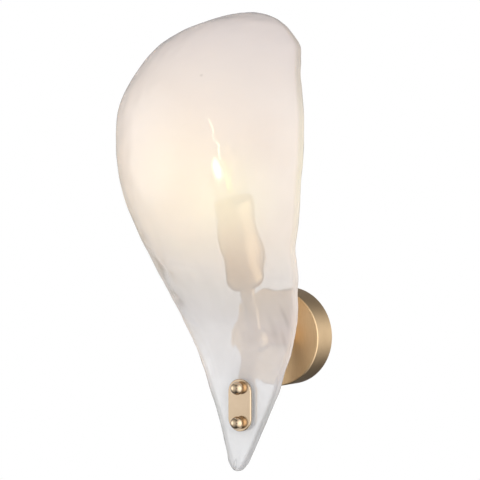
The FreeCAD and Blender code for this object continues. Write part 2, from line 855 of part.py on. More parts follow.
def make_bulb():
    """Candle bulb with a drawn-out tip on a small screw cap."""
    cap = size("cap_dia") / 2
    wall = size("cap_wall")
    skirt = size("skirt_dia") / 2
    nose_radius = cap / 3
    button_top = contact_top + size("cap_nose") / 3
    cone_top = cap_thread_top + size("skirt_length") * 3 / 5
    turned("bulb_contact", [
        (0, contact_top), (nose_radius * 2 / 3, contact_top), (nose_radius, button_top), (0, button_top),
    ], on_lamp)
    turned("bulb_insulator", [
        (0, button_top), (nose_radius, button_top), (cap - 2 * wall, cap_start), (0, cap_start),
    ], on_lamp)
    turned("bulb_cap", [
        (0, cap_start), (cap - wall, cap_start), (cap, cap_start + wall), (cap, cap_thread_top),
        (skirt, cone_top), (skirt, skirt_top), (skirt - wall, skirt_top), (skirt - wall, cone_top),
        (cap - wall, cap_thread_top), (cap - wall, cap_start + 2 * wall), (0, cap_start + 2 * wall),
    ], on_lamp)

    neck = skirt - wall - size("thread_gap")
    widest = size("bulb_dia") / 2
    length = size("bulb_length")
    base = cone_top + wall
    outline = []
    for share, rise in BULB_PROFILE:
        radius = neck if rise == 0 else widest * share
        outline.append(Vector(radius.value, 0, (base + length * rise).value))
    outer = Part.BSplineCurve()
    outer.interpolate(outline)
    thick = size("bulb_wall").value
    inner_points = []
    for point in outline[:-2]:
        inner_points.append(Vector(point.x - thick, 0, point.z))
    inner_top = Vector(0, 0, outline[-3].z + thick)
    inner_points.append(inner_top)
    inner = Part.BSplineCurve()
    inner.interpolate(inner_points)
    tip = Vector(0, 0, outline[-1].z)
    face = Part.Face(Part.Wire([
        outer.toShape(),
        Part.LineSegment(outline[-1], tip).toShape(),
        Part.LineSegment(tip, inner_top).toShape(),
        inner.toShape(),
        Part.LineSegment(inner_points[0], outline[0]).toShape(),
    ]))
    glass = doc.addObject("Part::Feature", "bulb_glass")
    glass.Shape = face.revolve(Vector(), Vector(0, 0, 1), 360)
    on_lamp(glass)
    keep("bulb_glass", glass)

    stem_start = cap_thread_top - size("cap_length") / 3
    stem_top = skirt_top + size("stem_height")
    stem = size("cap_dia") / 6
    turned("bulb_stem", [
        (0, stem_start), (cap - wall - size("hole_gap"), stem_start),
        (cap - wall - size("hole_gap"), stem_start + size("bulb_wall")), (stem, stem_start + cap),
        (stem, stem_top), (0, stem_top),
    ], on_lamp)

    filament_top = stem_top + size("filament_length")
    low_radius = stem * 4 / 5
    high_radius = size("bulb_dia") / 6
    wire = size("filament_dia") / 4
    rod = size("filament_dia") / 2
    rods = []
    post = Part.makeCylinder(wire.value, size("filament_length").value, Vector(0, 0, stem_top.value))
    arms = []
    for turn in range(4):
        angle = math.radians(45.0 + 90.0 * turn)
        away = Vector(math.cos(angle), math.sin(angle), 0)
        low = away * low_radius.value + Vector(0, 0, stem_top.value)
        high = away * high_radius.value + Vector(0, 0, filament_top.value)
        along = high - low
        rods.append(Part.makeCylinder(rod.value, along.Length, low, along))
        top_of_post = Vector(0, 0, filament_top.value - wire.value)
        reach = high_radius.value - rod.value
        arms.append(Part.makeCylinder(wire.value, reach, top_of_post, away))
    support = post.fuse(arms).removeSplitter().cut(rods)
    frame = doc.addObject("Part::Feature", "filament_support")
    frame.Shape = support
    on_lamp(frame)
    keep("filament_support", frame)
    filament = doc.addObject("Part::Feature", "filament")
    filament.Shape = Part.makeCompound(rods)
    on_lamp(filament)
    keep("filament", filament)


# ---------------------------------------------------------------- bracket and clamp
def make_glass_bracket():
    """Bent flat bar from the ball's front down to the clamp."""
    top = size("bracket_top")
    end = bolt_heights["lower"] - size("bracket_width") / 2
    thick = size("bracket_thick")
    bend_top = -size("bracket_bend_top")
    bend_low = -size("bracket_bend_low")
    body = new_body("glass_bracket")
    side = new_sketch(body, "YZ_Plane", "bracket_side")
    polygon(side, [
        (top, hub_front), (top, hub_front + thick), (bend_top, hub_front + thick),
        (bend_low, leg_front), (end, leg_front), (end, leg_back), (bend_low, leg_back),
        (bend_top, hub_front),
    ])
    pad(body, side, size("bracket_width"), middle=True)

    def is_bend(edge):
        middle = edge.CenterOfMass
        heights = (bend_top.value, bend_low.value)
        return (
            abs(edge.Length - size("bracket_width").value) < SAME
            and any(abs(middle.y - height) < SAME for height in heights)
        )

    round_edges(body, is_bend, size("bend_round"))

    def is_corner(edge):
        middle = edge.CenterOfMass
        return (
            abs(edge.Length - thick.value) < SAME
            and abs(abs(middle.x) - size("bracket_width").value / 2) < SAME
            and (abs(middle.y - top.value) < SAME or abs(middle.y - end.value) < SAME)
        )

    round_edges(body, is_corner, size("bracket_width") / 2 - size("hole_gap"))
    holes = new_sketch(body, "XY_Plane", "bracket_holes")
    circle(holes, 0, 0, size("bracket_screw_dia") / 2 + size("hole_gap"))
    for height in bolt_heights.values():
        circle(holes, 0, height, size("bolt_dia") / 2 + size("hole_gap"))
    pocket_through(body, holes)
    parts["glass_bracket"] = body

    radius = size("bracket_screw_dia") / 2
    head_start = hub_front + thick
    head_height = radius * HEAD_HEIGHT
    foot = hub_front - hub_screw_depth
    shank = cylinder("bracket_screw_shank", radius, head_start - foot, on_wall, out=foot)
    head = cylinder("bracket_screw_head", radius * HEAD_SHARE, head_height, on_wall, out=head_start)
    socket = hexagon(
        "bracket_screw_socket", size("bracket_socket"), radius * SOCKET_DEPTH, on_wall,
        out=head_start + head_height - radius * SOCKET_DEPTH,
    )
    keep("bracket_screw", cut("bracket_screw", fused("bracket_screw_blank", [shank, head]), [socket]))


def clamp_outline(name, start, thick, hole):
    """An upright obround plate at the clamp, with its two holes."""
    body = new_body(name)
    outline = new_sketch(body, "XY_Plane", name + "_outline")
    obround(outline, -size("clamp_drop"), size("clamp_height"), size("clamp_width"))
    for height in bolt_heights.values():
        circle(outline, 0, height, hole)
    pad(body, outline, thick, start=start)
    doc.recompute()
    return body


def make_clamp(glass):
    """Two obround plates and soft pads that grip the glass, with bolts, sleeves and ball nuts."""
    bolt = size("bolt_dia") / 2
    bolt_hole = bolt + size("hole_gap")
    sleeve = bolt_hole + size("sleeve_wall")
    sleeve_hole = sleeve + size("hole_gap")
    parts["clamp_back_plate"] = clamp_outline(
        "clamp_back_plate", leg_front, size("back_plate_thick"), bolt_hole
    )
    front = clamp_outline("clamp_plate", front_plate_back, size("front_plate_thick"), bolt_hole)
    parts["clamp_plate"] = front

    def is_front_edge(edge):
        box = edge.BoundBox
        at_front = abs(box.ZMin - front_plate_front.value) < SAME and box.ZLength < SAME
        wide = size("clamp_width").value / 2 - SAME
        at_outline = max(abs(box.XMin), abs(box.XMax)) > wide
        return at_front and at_outline

    round_edges(front, is_front_edge, size("plate_bevel"), "Chamfer")

    middle = size("glass_thick") / 2
    rear_blank = clamp_outline(
        "rear_gasket_blank", back_plate_front, size("rear_pad") + middle, sleeve_hole
    )
    front_blank = clamp_outline(
        "front_gasket_blank", glass_outside - middle, size("front_pad") + middle, sleeve_hole
    )
    keep("rear_gasket", cut("rear_gasket", rear_blank, [glass]))
    keep("front_gasket", cut("front_gasket", front_blank, [glass]))

    bolts = []
    sleeves = []
    for name, height in bolt_heights.items():
        head_start = leg_back - size("bolt_head_height")
        head = hexagon(
            name + "_bolt_head", size("bolt_head_flats"), size("bolt_head_height"), on_wall,
            up=height, out=head_start,
        )
        shank = cylinder(
            name + "_bolt_shank", bolt, bolt_end - head_start, on_wall, up=height, out=head_start
        )
        bolts.append(fused(name + "_bolt", [head, shank]))
        sleeve_length = front_plate_back - back_plate_front - size("hole_gap")
        tube = cylinder(name + "_sleeve", sleeve, sleeve_length, on_wall, up=height, out=back_plate_front)
        bore = cylinder(
            name + "_sleeve_bore", bolt_hole, sleeve_length, on_wall, up=height, out=back_plate_front
        )
        sleeves.append(cut(name + "_sleeve", tube, [bore]))

        ball = doc.addObject("Part::Sphere", name + "_nut_ball")
        bind(ball, "Radius", size("nut_ball_dia") / 2)
        on_wall(ball, up=height, out=ball_nut_centre)
        behind = cylinder(
            name + "_nut_seat", size("nut_ball_dia"), size("nut_ball_dia"), on_wall,
            up=height, out=front_plate_front - size("nut_ball_dia"),
        )
        thread = cylinder(
            name + "_nut_thread", bolt + size("thread_gap"), size("bolt_grip") + size("nut_ball_dia") / 20,
            on_wall, up=height, out=front_plate_front,
        )
        keep(name + "_ball_nut", cut(name + "_ball_nut", ball, [behind, thread]))
    together("clamp_bolts", bolts)
    together("stud_sleeves", sleeves)


# ---------------------------------------------------------------- glass petal
# Stations of the petal, from its low tip to its top, in millimetres. Each gives the height of the
# edge above the clamp, the half width with its round edge, how far out the edge lies from the
# glass's face at the clamp, and how much further out and up the middle of the face lies.
PETAL = [
    (-63.9, 3.4, 9.4, 0.03, 0.0),
    (-56.5, 10.0, 7.0, 0.4, 0.0),
    (-46.5, 14.2, 4.4, 0.6, 0.0),
    (-32.0, 20.6, 1.5, 0.7, 0.0),
    (-17.0, 26.6, -0.9, 1.3, 0.0),
    (0.3, 33.7, -2.2, 2.2, 0.0),
    (18.0, 40.4, -2.3, 2.5, 0.0),
    (33.0, 45.6, -2.2, 3.6, 0.0),
    (48.0, 52.0, -1.2, 6.5, 0.0),
    (78.0, 64.3, 4.6, 15.6, -1.0),
    (108.0, 74.1, 18.4, 25.2, -2.0),
    (138.0, 82.5, 34.0, 32.5, -2.0),
    (173.0, 92.6, 50.2, 37.4, -1.0),
    (213.0, 101.7, 62.2, 40.0, 0.0),
    (253.0, 106.6, 64.8, 40.4, 4.0),
    (293.0, 104.3, 62.9, 37.4, 9.0),
    (323.0, 95.6, 50.8, 36.6, 11.0),
    (343.0, 87.4, 39.0, 33.6, 11.5),
    (361.0, 71.2, 28.4, 21.6, 10.0),
    (372.2, 53.6, 18.0, 12.8, 6.0),
    (380.2, 34.8, 5.8, 8.0, 3.4),
    (385.0, 18.6, -2.6, 3.4, 1.0),
    (387.1, 10.6, -6.6, 0.9, 0.2),
]
PETAL_WIDTH = 213.2  # widest, as in the table
PETAL_HEIGHT = 451.0  # from tip to top, as in the table
PETAL_BULGE = 105.2  # furthest out past the face at the clamp, as in the table
EDGE_SHARE = 0.35  # the round edge adds this share of the thickness to the half width


def petal_section(station):
    """A closed wire across the petal: outer arc, inner arc and a round edge at each side."""
    height, half, edge_out, crown_out, crown_up = station
    wide = size("glass_width").value / PETAL_WIDTH
    tall = size("glass_height").value / PETAL_HEIGHT
    deep = size("glass_bulge").value / PETAL_BULGE
    thick = size("glass_thick").value
    face = glass_outside.value
    base = -size("clamp_drop").value
    half = half * wide - thick * EDGE_SHARE
    edge = Vector(0, -(face + edge_out * deep), base + height * tall)
    crown = edge + Vector(0, -crown_out * deep, crown_up * tall)
    rise = (crown - edge).Length
    outward = (crown - edge).normalize()
    radius = (half * half + rise * rise) / (2 * rise)
    centre = crown - outward * radius
    across = Vector(1, 0, 0)
    swing = math.asin(min(1.0, half / radius))
    if rise > radius:
        swing = math.pi - swing

    def on_arc(reach, angle):
        return centre + across * (reach * math.sin(angle)) + outward * (reach * math.cos(angle))

    inner = radius - thick
    mid = radius - thick / 2
    aside = across * math.cos(swing) * thick / 2
    back = outward * math.sin(swing) * thick / 2
    right_round = on_arc(mid, swing) + aside - back
    left_round = on_arc(mid, -swing) - aside - back
    edges = [
        Part.Arc(on_arc(radius, -swing), on_arc(radius, 0), on_arc(radius, swing)),
        Part.Arc(on_arc(radius, swing), right_round, on_arc(inner, swing)),
        Part.Arc(on_arc(inner, swing), on_arc(inner, 0), on_arc(inner, -swing)),
        Part.Arc(on_arc(inner, -swing), left_round, on_arc(radius, -swing)),
    ]
    return Part.Wire([edge.toShape() for edge in edges])


def make_glass():
    """Petal of thick glass, lofted through its stations, with two bolt holes."""
    petal = doc.addObject("Part::Feature", "petal_blank")
    petal.Shape = Part.makeLoft([petal_section(station) for station in PETAL], True, False)
    hole = size("bolt_dia") / 2 + size("hole_gap") + size("sleeve_wall") + size("hole_gap")
    drills = []
    for name, height in bolt_heights.items():
        drills.append(cylinder(
            name + "_glass_hole", hole, size("glass_thick") * 4, on_wall,
            up=height, out=glass_inside - size("glass_thick"),
        ))
    glass = cut("glass_shade", petal, drills)
    keep("glass_shade", glass)
    return petal


# ---------------------------------------------------------------- wires
RUN_SHARE = 0.45  # the most of a straight run that one arc may take
VOLUME_SHARE = 0.02  # a wire's volume may differ by this much from its section times its length
ELBOW = 1.3  # a wire's widest bend for each millimetre of the hub's bore


def rounded_path(points, tightest):
    """Straight runs joined by arcs, each as large as its two runs allow up to a limit."""
    edges = []
    start = points[0]
    radii = []
    for before, corner, after in zip(points, points[1:], points[2:]):
        into = (corner - before).normalize()
        onward = (after - corner).normalize()
        half_turn = into.getAngle(onward) / 2
        shorter = min((corner - before).Length, (after - corner).Length)
        radius = min(RUN_SHARE * shorter / math.tan(half_turn), tightest)
        reach = radius * math.tan(half_turn)
        bisector = (onward - into).normalize()
        entry = corner - into * reach
        leave = corner + onward * reach
        middle = corner + bisector * (radius / math.cos(half_turn) - radius)
        edges.append(Part.LineSegment(start, entry).toShape())
        edges.append(Part.Arc(entry, middle, leave).toShape())
        start = leave
        radii.append(radius)
    edges.append(Part.LineSegment(start, points[-1]).toShape())
    return Part.Wire(edges), radii


def insulated_wire(name, points, tightest):
    """A round wire along a route, checked against its section times its length."""
    path, radii = rounded_path(points, tightest)
    radius = size("wire_dia").value / 2
    along = points[1] - points[0]
    ring = Part.Wire([Part.Circle(points[0], along, radius).toShape()])
    shape = path.makePipeShell([ring], True, False)
    expected = math.pi * radius ** 2 * path.Length
    if abs(shape.Volume - expected) > VOLUME_SHARE * expected:
        raise ValueError("%s has volume %.1f, not %.1f" % (name, shape.Volume, expected))
    print(name, "length %.0f" % path.Length, "arcs", ["%.1f" % radius for radius in radii])
    wire = doc.addObject("Part::Feature", name)
    wire.Shape = shape
    keep(name, wire)


def wall_point(across, out, up):
    return Vector(Size.of(across).value, -Size.of(out).value, Size.of(up).value)


def lamp_point(across, along):
    along = Size.of(along)
    return wall_point(across, hub_reach + along * SIN_LEAN, along * COS_LEAN)


def make_wires():
    side = size("wire_side")
    level = strap_front + size("pole_height")
    bore_end = -(size("block_offset") + size("block_depth") / 4)
    block_edge = -size("block_offset")
    pitch = size("pole_pitch")
    elbow = size("wireway").value * ELBOW
    spread_start = spigot_end + size("wire_dia") * 4 / 5
    spread_end = insert_start - size("wire_dia") * 5 / 3
    wire_stop = insert_start + size("terminal_length") / 2 - size("hole_gap")

    def up_the_lamp(sign):
        return [
            wall_point(sign * side, hub_reach, 0),
            lamp_point(sign * side, spread_start),
            lamp_point(sign * size("terminal_offset"), spread_end),
            lamp_point(sign * size("terminal_offset"), wire_stop),
        ]

    live = [wall_point(bore_end, level, 0), wall_point(-side, level, 0)] + up_the_lamp(-1)
    neutral = [
        wall_point(bore_end, level, -pitch), wall_point(block_edge / 2, level, -pitch),
        wall_point(side, level, 0),
    ] + up_the_lamp(1)
    insulated_wire("live_wire", live, elbow)
    insulated_wire("neutral_wire", neutral, elbow)

    turn = math.radians(LUG_TURN)
    lug_level = strap_front + size("lug_barrel") / 2
    ring_radius = size("lug_dia") / 2

    def lug_point(reach):
        return wall_point(
            -reach * math.cos(turn), lug_level, size("earth_screw_up") - reach * math.sin(turn)
        )

    earth = [
        wall_point(bore_end, level, pitch),
        wall_point(block_edge * 4 / 5, level, pitch),
        lug_point(ring_radius + lug_barrel_length + size("lug_barrel")),
        lug_point(ring_radius + size("lug_barrel") / 2),
    ]
    insulated_wire("earth_wire", earth, elbow)


# ---------------------------------------------------------------- the whole lamp
make_mounting_bracket()
make_canopy()
make_canopy_screws()
make_earth()
make_terminal_block()
make_arm()
make_rod_and_cup()
make_lampholder()
make_bulb()
make_glass_bracket()
make_clamp(make_glass())
make_wires()
doc.recompute()

for obj in doc.Objects:
    if "Invalid" in obj.State or "Error" in obj.State:
        raise RuntimeError("%s did not build: %s" % (obj.Label, obj.State))
for name, piece in parts.items():
    shape = piece.Shape
    if shape.isNull() or not shape.isValid() or not shape.Solids:
        raise RuntimeError("%s has no valid solid" % name)

os.makedirs("parts", exist_ok=True)
for name, piece in parts.items():
    piece.Shape.exportStep("parts/%s.step" % name)
print(len(parts), "pieces written")
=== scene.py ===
"""Wall light: a cupped petal of opal glass clamped in front of a brass lampholder, on a round canopy.

Lengths are written in millimetres and turned to metres by MM. X runs across, -Y out from the wall
and Z up. The origin is the middle of the canopy's back.
"""
import json
import math

import bmesh
import bpy
from mathutils import Matrix, Vector, noise


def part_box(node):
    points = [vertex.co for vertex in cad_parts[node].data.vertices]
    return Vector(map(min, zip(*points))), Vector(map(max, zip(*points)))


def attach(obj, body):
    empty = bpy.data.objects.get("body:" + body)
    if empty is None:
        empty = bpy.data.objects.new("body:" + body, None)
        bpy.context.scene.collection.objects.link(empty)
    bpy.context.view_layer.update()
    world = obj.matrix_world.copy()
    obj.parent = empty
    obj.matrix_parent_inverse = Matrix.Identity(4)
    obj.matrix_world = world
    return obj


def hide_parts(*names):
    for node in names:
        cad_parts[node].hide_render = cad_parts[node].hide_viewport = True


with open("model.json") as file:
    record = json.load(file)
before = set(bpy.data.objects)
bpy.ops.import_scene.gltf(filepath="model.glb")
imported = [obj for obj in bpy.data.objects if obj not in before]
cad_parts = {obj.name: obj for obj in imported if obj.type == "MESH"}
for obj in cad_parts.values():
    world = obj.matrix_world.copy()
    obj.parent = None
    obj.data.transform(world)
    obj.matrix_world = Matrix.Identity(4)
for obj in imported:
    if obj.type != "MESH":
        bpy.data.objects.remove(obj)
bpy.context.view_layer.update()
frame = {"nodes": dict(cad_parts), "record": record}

MM = 0.001
LEAN = math.radians(18.5)  # the lamp leans out from the wall by this much
BALL_OUT = 64.4  # the arm's ball, straight out from the wall
LAMP_BASE = Vector((0, -BALL_OUT, 0)) * MM
LAMP_WAY = Vector((0, -math.sin(LEAN), math.cos(LEAN)))
LAMP_TURN = Matrix.Rotation(LEAN, 3, "X")
WALL_PLACE = Matrix.Rotation(math.radians(90), 4, "X")


# ---------------------------------------------------------------- camera
VIEW_TURN = math.radians(32)
VIEW_WAY = Vector((math.sin(VIEW_TURN), -math.cos(VIEW_TURN), 0))  # from the lamp to the camera
SIDE_WAY = Vector((-math.cos(VIEW_TURN), -math.sin(VIEW_TURN), 0))  # level, to the camera's left
VIEW_TARGET = Vector((-23.0, -60.0, 98.7)) * MM
VIEW_DISTANCE = 1500 * MM
VIEW_REACH = 20  # metres that the camera sees
IMAGE_SIDE = 480  # pixels
FOCAL_PIXELS = 1485  # the lens's focal length, in the picture's pixels
SENSOR = 36.0


def make_camera():
    """Level camera to the right of the lamp, with a long lens."""
    camera = bpy.data.cameras.new("camera")
    camera.sensor_width = SENSOR
    camera.lens = SENSOR * FOCAL_PIXELS / IMAGE_SIDE
    camera.clip_end = VIEW_REACH
    holder = bpy.data.objects.new("camera", camera)
    holder.location = VIEW_TARGET + VIEW_WAY * VIEW_DISTANCE
    holder.rotation_euler = VIEW_WAY.to_track_quat("Z", "Y").to_euler()
    bpy.context.scene.collection.objects.link(holder)
    bpy.context.scene.camera = holder


# ---------------------------------------------------------------- materials
MIX_FIRST, MIX_SECOND, MIX_RESULT = 6, 7, 2  # a Mix node's sockets for two colours and their mix


def linear(code):
    """Linear colour of an sRGB hex value."""
    shares = [int(code[place:place + 2], 16) / 255 for place in (0, 2, 4)]
    return tuple(s / 12.92 if s <= 0.04045 else ((s + 0.055) / 1.055) ** 2.4 for s in shares) + (1.0,)


def grey(level):
    """Grey of a plain linear level."""
    return (level, level, level, 1.0)


def node(tree, kind, inputs=None, stops=(), **settings):
    """Adds a node with its settings, with each input either set or linked, and with a colour ramp's
    stops, each of them a place and a hex colour or a plain level."""
    new = tree.nodes.new(kind)
    for name, value in settings.items():
        setattr(new, name, value)
    for name, value in (inputs or {}).items():
        if isinstance(value, bpy.types.NodeSocket):
            tree.links.new(value, new.inputs[name])
        else:
            new.inputs[name].default_value = value
    if stops:
        elements = new.color_ramp.elements
        while len(elements) < len(stops):
            elements.new(0.5)
        for element, (place, shade) in zip(elements, stops):
            element.position = place
            element.color = linear(shade) if isinstance(shade, str) else grey(shade)
    return new


def new_material(name):
    material = bpy.data.materials.new(name)
    material.use_nodes = True
    material.node_tree.nodes.clear()
    return material


def finish_material(material, surface):
    node(material.node_tree, "ShaderNodeOutputMaterial", {"Surface": surface})
    return material


METAL_CLOUDS = 28.57  # soft clouds in a metal's colour are about this far apart
SKIN_RELIEF = 0.02  # depth of brushed lines and of the skin on moulded stuff
UNEVEN_GLOSS = 0.15  # the roughness of moulded stuff goes up and down by this share


def brushed_metal(name, dark, light, rough, line_gap, run, bump=0.15):
    """Metal with fine lines along one axis, line_gap millimetres apart, and run times as long.

    The lines change the gloss most, so the eye sees a soft streaked sheen, and the colour a little.
    Real lines are too fine to show in the picture, so these are drawn several times wider apart.
    """
    material = new_material(name)
    tree = material.node_tree
    place = node(tree, "ShaderNodeTexCoord").outputs["Object"]
    fine = 1 / (line_gap * MM)
    stretch = [fine / part for part in run]
    lines = node(tree, "ShaderNodeMapping", {"Vector": place, "Scale": stretch})
    streaks = node(tree, "ShaderNodeTexNoise", {
        "Vector": lines.outputs["Vector"], "Scale": 1.0, "Detail": 3.0, "Roughness": 0.6,
    }).outputs["Fac"]
    clouds = node(tree, "ShaderNodeTexNoise", {
        "Vector": place, "Scale": 1 / (METAL_CLOUDS * MM), "Detail": 2.0,
    }).outputs["Fac"]
    mixed = node(tree, "ShaderNodeMath", {0: streaks, 1: clouds}, operation="ADD").outputs["Value"]
    half = node(tree, "ShaderNodeMath", {0: mixed, 1: 0.5}, operation="MULTIPLY").outputs["Value"]
    colour = node(tree, "ShaderNodeValToRGB", {"Fac": half}, stops=[(0.36, dark), (0.64, light)])
    gloss = node(tree, "ShaderNodeValToRGB", {"Fac": streaks}, stops=[(0.3, rough[0]), (0.7, rough[1])])
    relief = node(tree, "ShaderNodeBump", {
        "Height": streaks, "Strength": bump, "Distance": SKIN_RELIEF * MM,
    })
    metal = node(tree, "ShaderNodeBsdfPrincipled", {
        "Base Color": colour.outputs["Color"], "Metallic": 1.0, "Roughness": gloss.outputs["Color"],
        "Normal": relief.outputs["Normal"],
    })
    return finish_material(material, metal.outputs["BSDF"])


def moulded(name, dark, light, rough, speck, coat=0.0, subsurface=0.0):
    """Plain moulded or glazed stuff with a faint mottling and a fine orange-peel skin.

    Both come from one grain, speck millimetres across, so the eye sees a slightly uneven gloss.
    """
    material = new_material(name)
    tree = material.node_tree
    place = node(tree, "ShaderNodeTexCoord").outputs["Object"]
    grain = node(tree, "ShaderNodeTexNoise", {
        "Vector": place, "Scale": 1 / (speck * MM), "Detail": 2.0,
    }).outputs["Fac"]
    colour = node(tree, "ShaderNodeValToRGB", {"Fac": grain}, stops=[(0.35, dark), (0.65, light)])
    gloss = node(tree, "ShaderNodeValToRGB", {"Fac": grain}, stops=[
        (0.3, rough * (1 - UNEVEN_GLOSS)), (0.7, rough * (1 + UNEVEN_GLOSS)),
    ])
    skin = node(tree, "ShaderNodeBump", {
        "Height": grain, "Strength": 0.1, "Distance": SKIN_RELIEF * MM,
    })
    body = node(tree, "ShaderNodeBsdfPrincipled", {
        "Base Color": colour.outputs["Color"], "Roughness": gloss.outputs["Color"],
        "Normal": skin.outputs["Normal"], "Coat Weight": coat, "Coat Roughness": 0.06,
        "Subsurface Weight": subsurface, "Subsurface Radius": (1.5 * MM, 1.5 * MM, 1.5 * MM),
    })
    return finish_material(material, body.outputs["BSDF"])


def mirror_share(tree, ior, skin):
    """How much a clear skin mirrors at each angle, the same from both of its sides."""
    behind = node(tree, "ShaderNodeNewGeometry").outputs["Backfacing"]
    either = node(tree, "ShaderNodeMath", {
        0: behind, 1: 1 / ior - ior, 2: ior,
    }, operation="MULTIPLY_ADD").outputs["Value"]
    return node(tree, "ShaderNodeFresnel", {"IOR": either, "Normal": skin}).outputs["Fac"]


def lets_lamps_through(tree, surface, share):
    """Lamps' rays pass with this share of their light, as they do through real glass."""
    path = node(tree, "ShaderNodeLightPath").outputs["Is Shadow Ray"]
    passing = node(tree, "ShaderNodeBsdfTransparent", {"Color": grey(share)}).outputs["BSDF"]
    return node(tree, "ShaderNodeMixShader", {0: path, 1: surface, 2: passing}).outputs["Shader"]


# ---------------------------------------------------------------- opal glass
GLASS_IOR = 1.5
GLASS_LOW, GLASS_HIGH = -127, 324  # the petal's tip and top
SKIN_WAVES = 22.22  # length of the soft waves in the fire-polished skin
MILK_CLOUDS = 90.91  # size of the clouds in the milky layer
MILK_DRIFT = 70  # the height within which they shift it up and down
MILK_THROUGH = 0.5  # share of the light in the milk that goes on through
SIDE_THINNING = 0.30  # the clear strip along the left side is less milky by this share
LIP_MILK = 0.35  # the thick lip is milkier by this much
LIP_FADE = [(0.0, 0.0), (0.35, 0.12), (0.7, 0.8), (1.0, 1.0)]  # how the lip rises towards the edge
# Up the petal, from its tip at 0 to its top at 1: how milky the glass is, and its colour in the face
# and in the lip. The face's colour is the milk's own, with painted shade in its darker band from 0.33
# to 0.45
MILKINESS = [
    (0.00, 0.46), (0.28, 0.47), (0.33, 0.51), (0.385, 0.51), (0.43, 0.41),
    (0.52, 0.56), (0.70, 0.72), (1.00, 0.78),
]
FACE_TINT_AND_SHADE = [
    (0.00, "f2f2f2"), (0.14, "f9f8f7"), (0.26, "fbf8f6"), (0.33, "ede9e8"), (0.385, "e2ddda"),
    (0.45, "e1d9d3"), (0.56, "e6dfda"), (0.80, "e6dfdb"), (1.00, "e7e0dd"),
]
# The lip's colour, darker at the tip and the top and paler between, is painted shade for the refraction
# in the thick lip
LIP_TINT_AND_SHADE = [
    (0.03, "cccac8"), (0.12, "d0cfcb"), (0.18, "e1dbd8"), (0.25, "f3e9df"), (0.33, "f0e5dc"),
    (0.45, "e6e0db"), (0.62, "dcd8ca"), (1.00, "ccc3bc"),
]
# Opal glass scatters blue light back and lets warm light through
FRONT_LIT = (0.89, 0.97, 1.12)
BACK_LIT = (1.10, 1.02, 0.89)
# The lit lamp's light in the milk: where it comes from, how far off it ends and is full, and its
# colour from the one to the other
GLOW_PLACE = LAMP_BASE + LAMP_WAY * 168 * MM
GLOW_END, GLOW_FULL = 200, 70
GLOW_TINT = [
    (0.00, 0.0), (0.31, "1d1b18"), (0.46, "2c2a25"), (0.62, "4e4a3f"),
    (0.77, "5a5342"), (0.92, "686246"), (1.00, "756f4d"),
]
# The glass before the cup's mouth, which the cup's light turns yellow
HALO_PLACE = Vector((43, -183, 137)) * MM
HALO_REACH = 60
HALO_TINT = [(0.0, 0.0), (1.0, "3c4b2a")]
# Small dark marks on the glass: a seed in the blown glass, a dark ring at the tip, and three long soft
# dark streaks by the right edge, which are painted shade for the dark refraction in the thick lip:
# place across and up, size across and up, how hollow each is, and how much it darkens
GLASS_MARKS_AND_SHADE = [
    (16.4, 250.5, 2.6, 2.0, 0.0, 0.22),
    (-2.0, -121, 1.9, 5.5, 0.8, 0.40),
    (57.5, 24, 3.2, 19, 0.0, 0.25),
    (51.0, 0, 3.2, 17, 0.0, 0.20),
    (43.5, 12, 5.0, 24, 0.0, 0.12),
]
MARK_AND_SHADE_TINT = "5c5a58"
RING_NARROWER = 0.7  # the ring of a hollow mark is narrower than a full one by up to this share


def marked(tree, split, tint, x, z, wide, tall, hollow, strength):
    """The tint with an oval dark mark on it, either full or a ring, which is a mark in the glass or
    painted shade.
    """
    across = node(tree, "ShaderNodeMath", {
        0: split.outputs["X"], 1: -x * MM,
    }, operation="ADD").outputs["Value"]
    up = node(tree, "ShaderNodeMath", {
        0: split.outputs["Z"], 1: -z * MM,
    }, operation="ADD").outputs["Value"]
    spot = node(tree, "ShaderNodeCombineXYZ", {"X": across, "Y": up})
    scaled = node(tree, "ShaderNodeVectorMath", {
        0: spot.outputs["Vector"], 1: (1 / (wide * MM), 1 / (tall * MM), 0),
    }, operation="MULTIPLY").outputs["Vector"]
    away = node(tree, "ShaderNodeVectorMath", {0: scaled}, operation="LENGTH").outputs["Value"]
    off_ring = node(tree, "ShaderNodeMath", {0: away, 1: hollow}, operation="SUBTRACT").outputs["Value"]
    near = node(tree, "ShaderNodeMath", {0: off_ring}, operation="ABSOLUTE").outputs["Value"]
    share = node(tree, "ShaderNodeMapRange", {
        "Value": near, "From Min": 1.0 - hollow * RING_NARROWER, "From Max": 0.0, "To Max": strength,
    }, interpolation_type="SMOOTHSTEP").outputs["Result"]
    mark = node(tree, "ShaderNodeMix", {
        0: share, MIX_FIRST: tint, MIX_SECOND: linear(MARK_AND_SHADE_TINT),
    }, data_type="RGBA")
    return mark.outputs[MIX_RESULT]


def lamp_light_in_milk(tree, place):
    """Colour of the lamp's light in the milky layer: warm round the lamp, yellow by the cup."""
    lamp = node(tree, "ShaderNodeVectorMath", {
        0: place, 1: GLOW_PLACE,
    }, operation="DISTANCE").outputs["Value"]
    near = node(tree, "ShaderNodeMapRange", {
        "Value": lamp, "From Min": GLOW_END * MM, "From Max": GLOW_FULL * MM,
    }).outputs["Result"]
    warmth = node(tree, "ShaderNodeValToRGB", {"Fac": near}, stops=GLOW_TINT).outputs["Color"]
    mouth = node(tree, "ShaderNodeVectorMath", {
        0: place, 1: HALO_PLACE,
    }, operation="DISTANCE").outputs["Value"]
    halo = node(tree, "ShaderNodeMapRange", {
        "Value": mouth, "From Min": HALO_REACH * MM, "From Max": 0.0,
    }, interpolation_type="SMOOTHSTEP").outputs["Result"]
    yellow = node(tree, "ShaderNodeValToRGB", {"Fac": halo}, stops=HALO_TINT).outputs["Color"]
    both = node(tree, "ShaderNodeVectorMath", {0: warmth, 1: yellow}, operation="ADD")
    return both.outputs["Vector"]


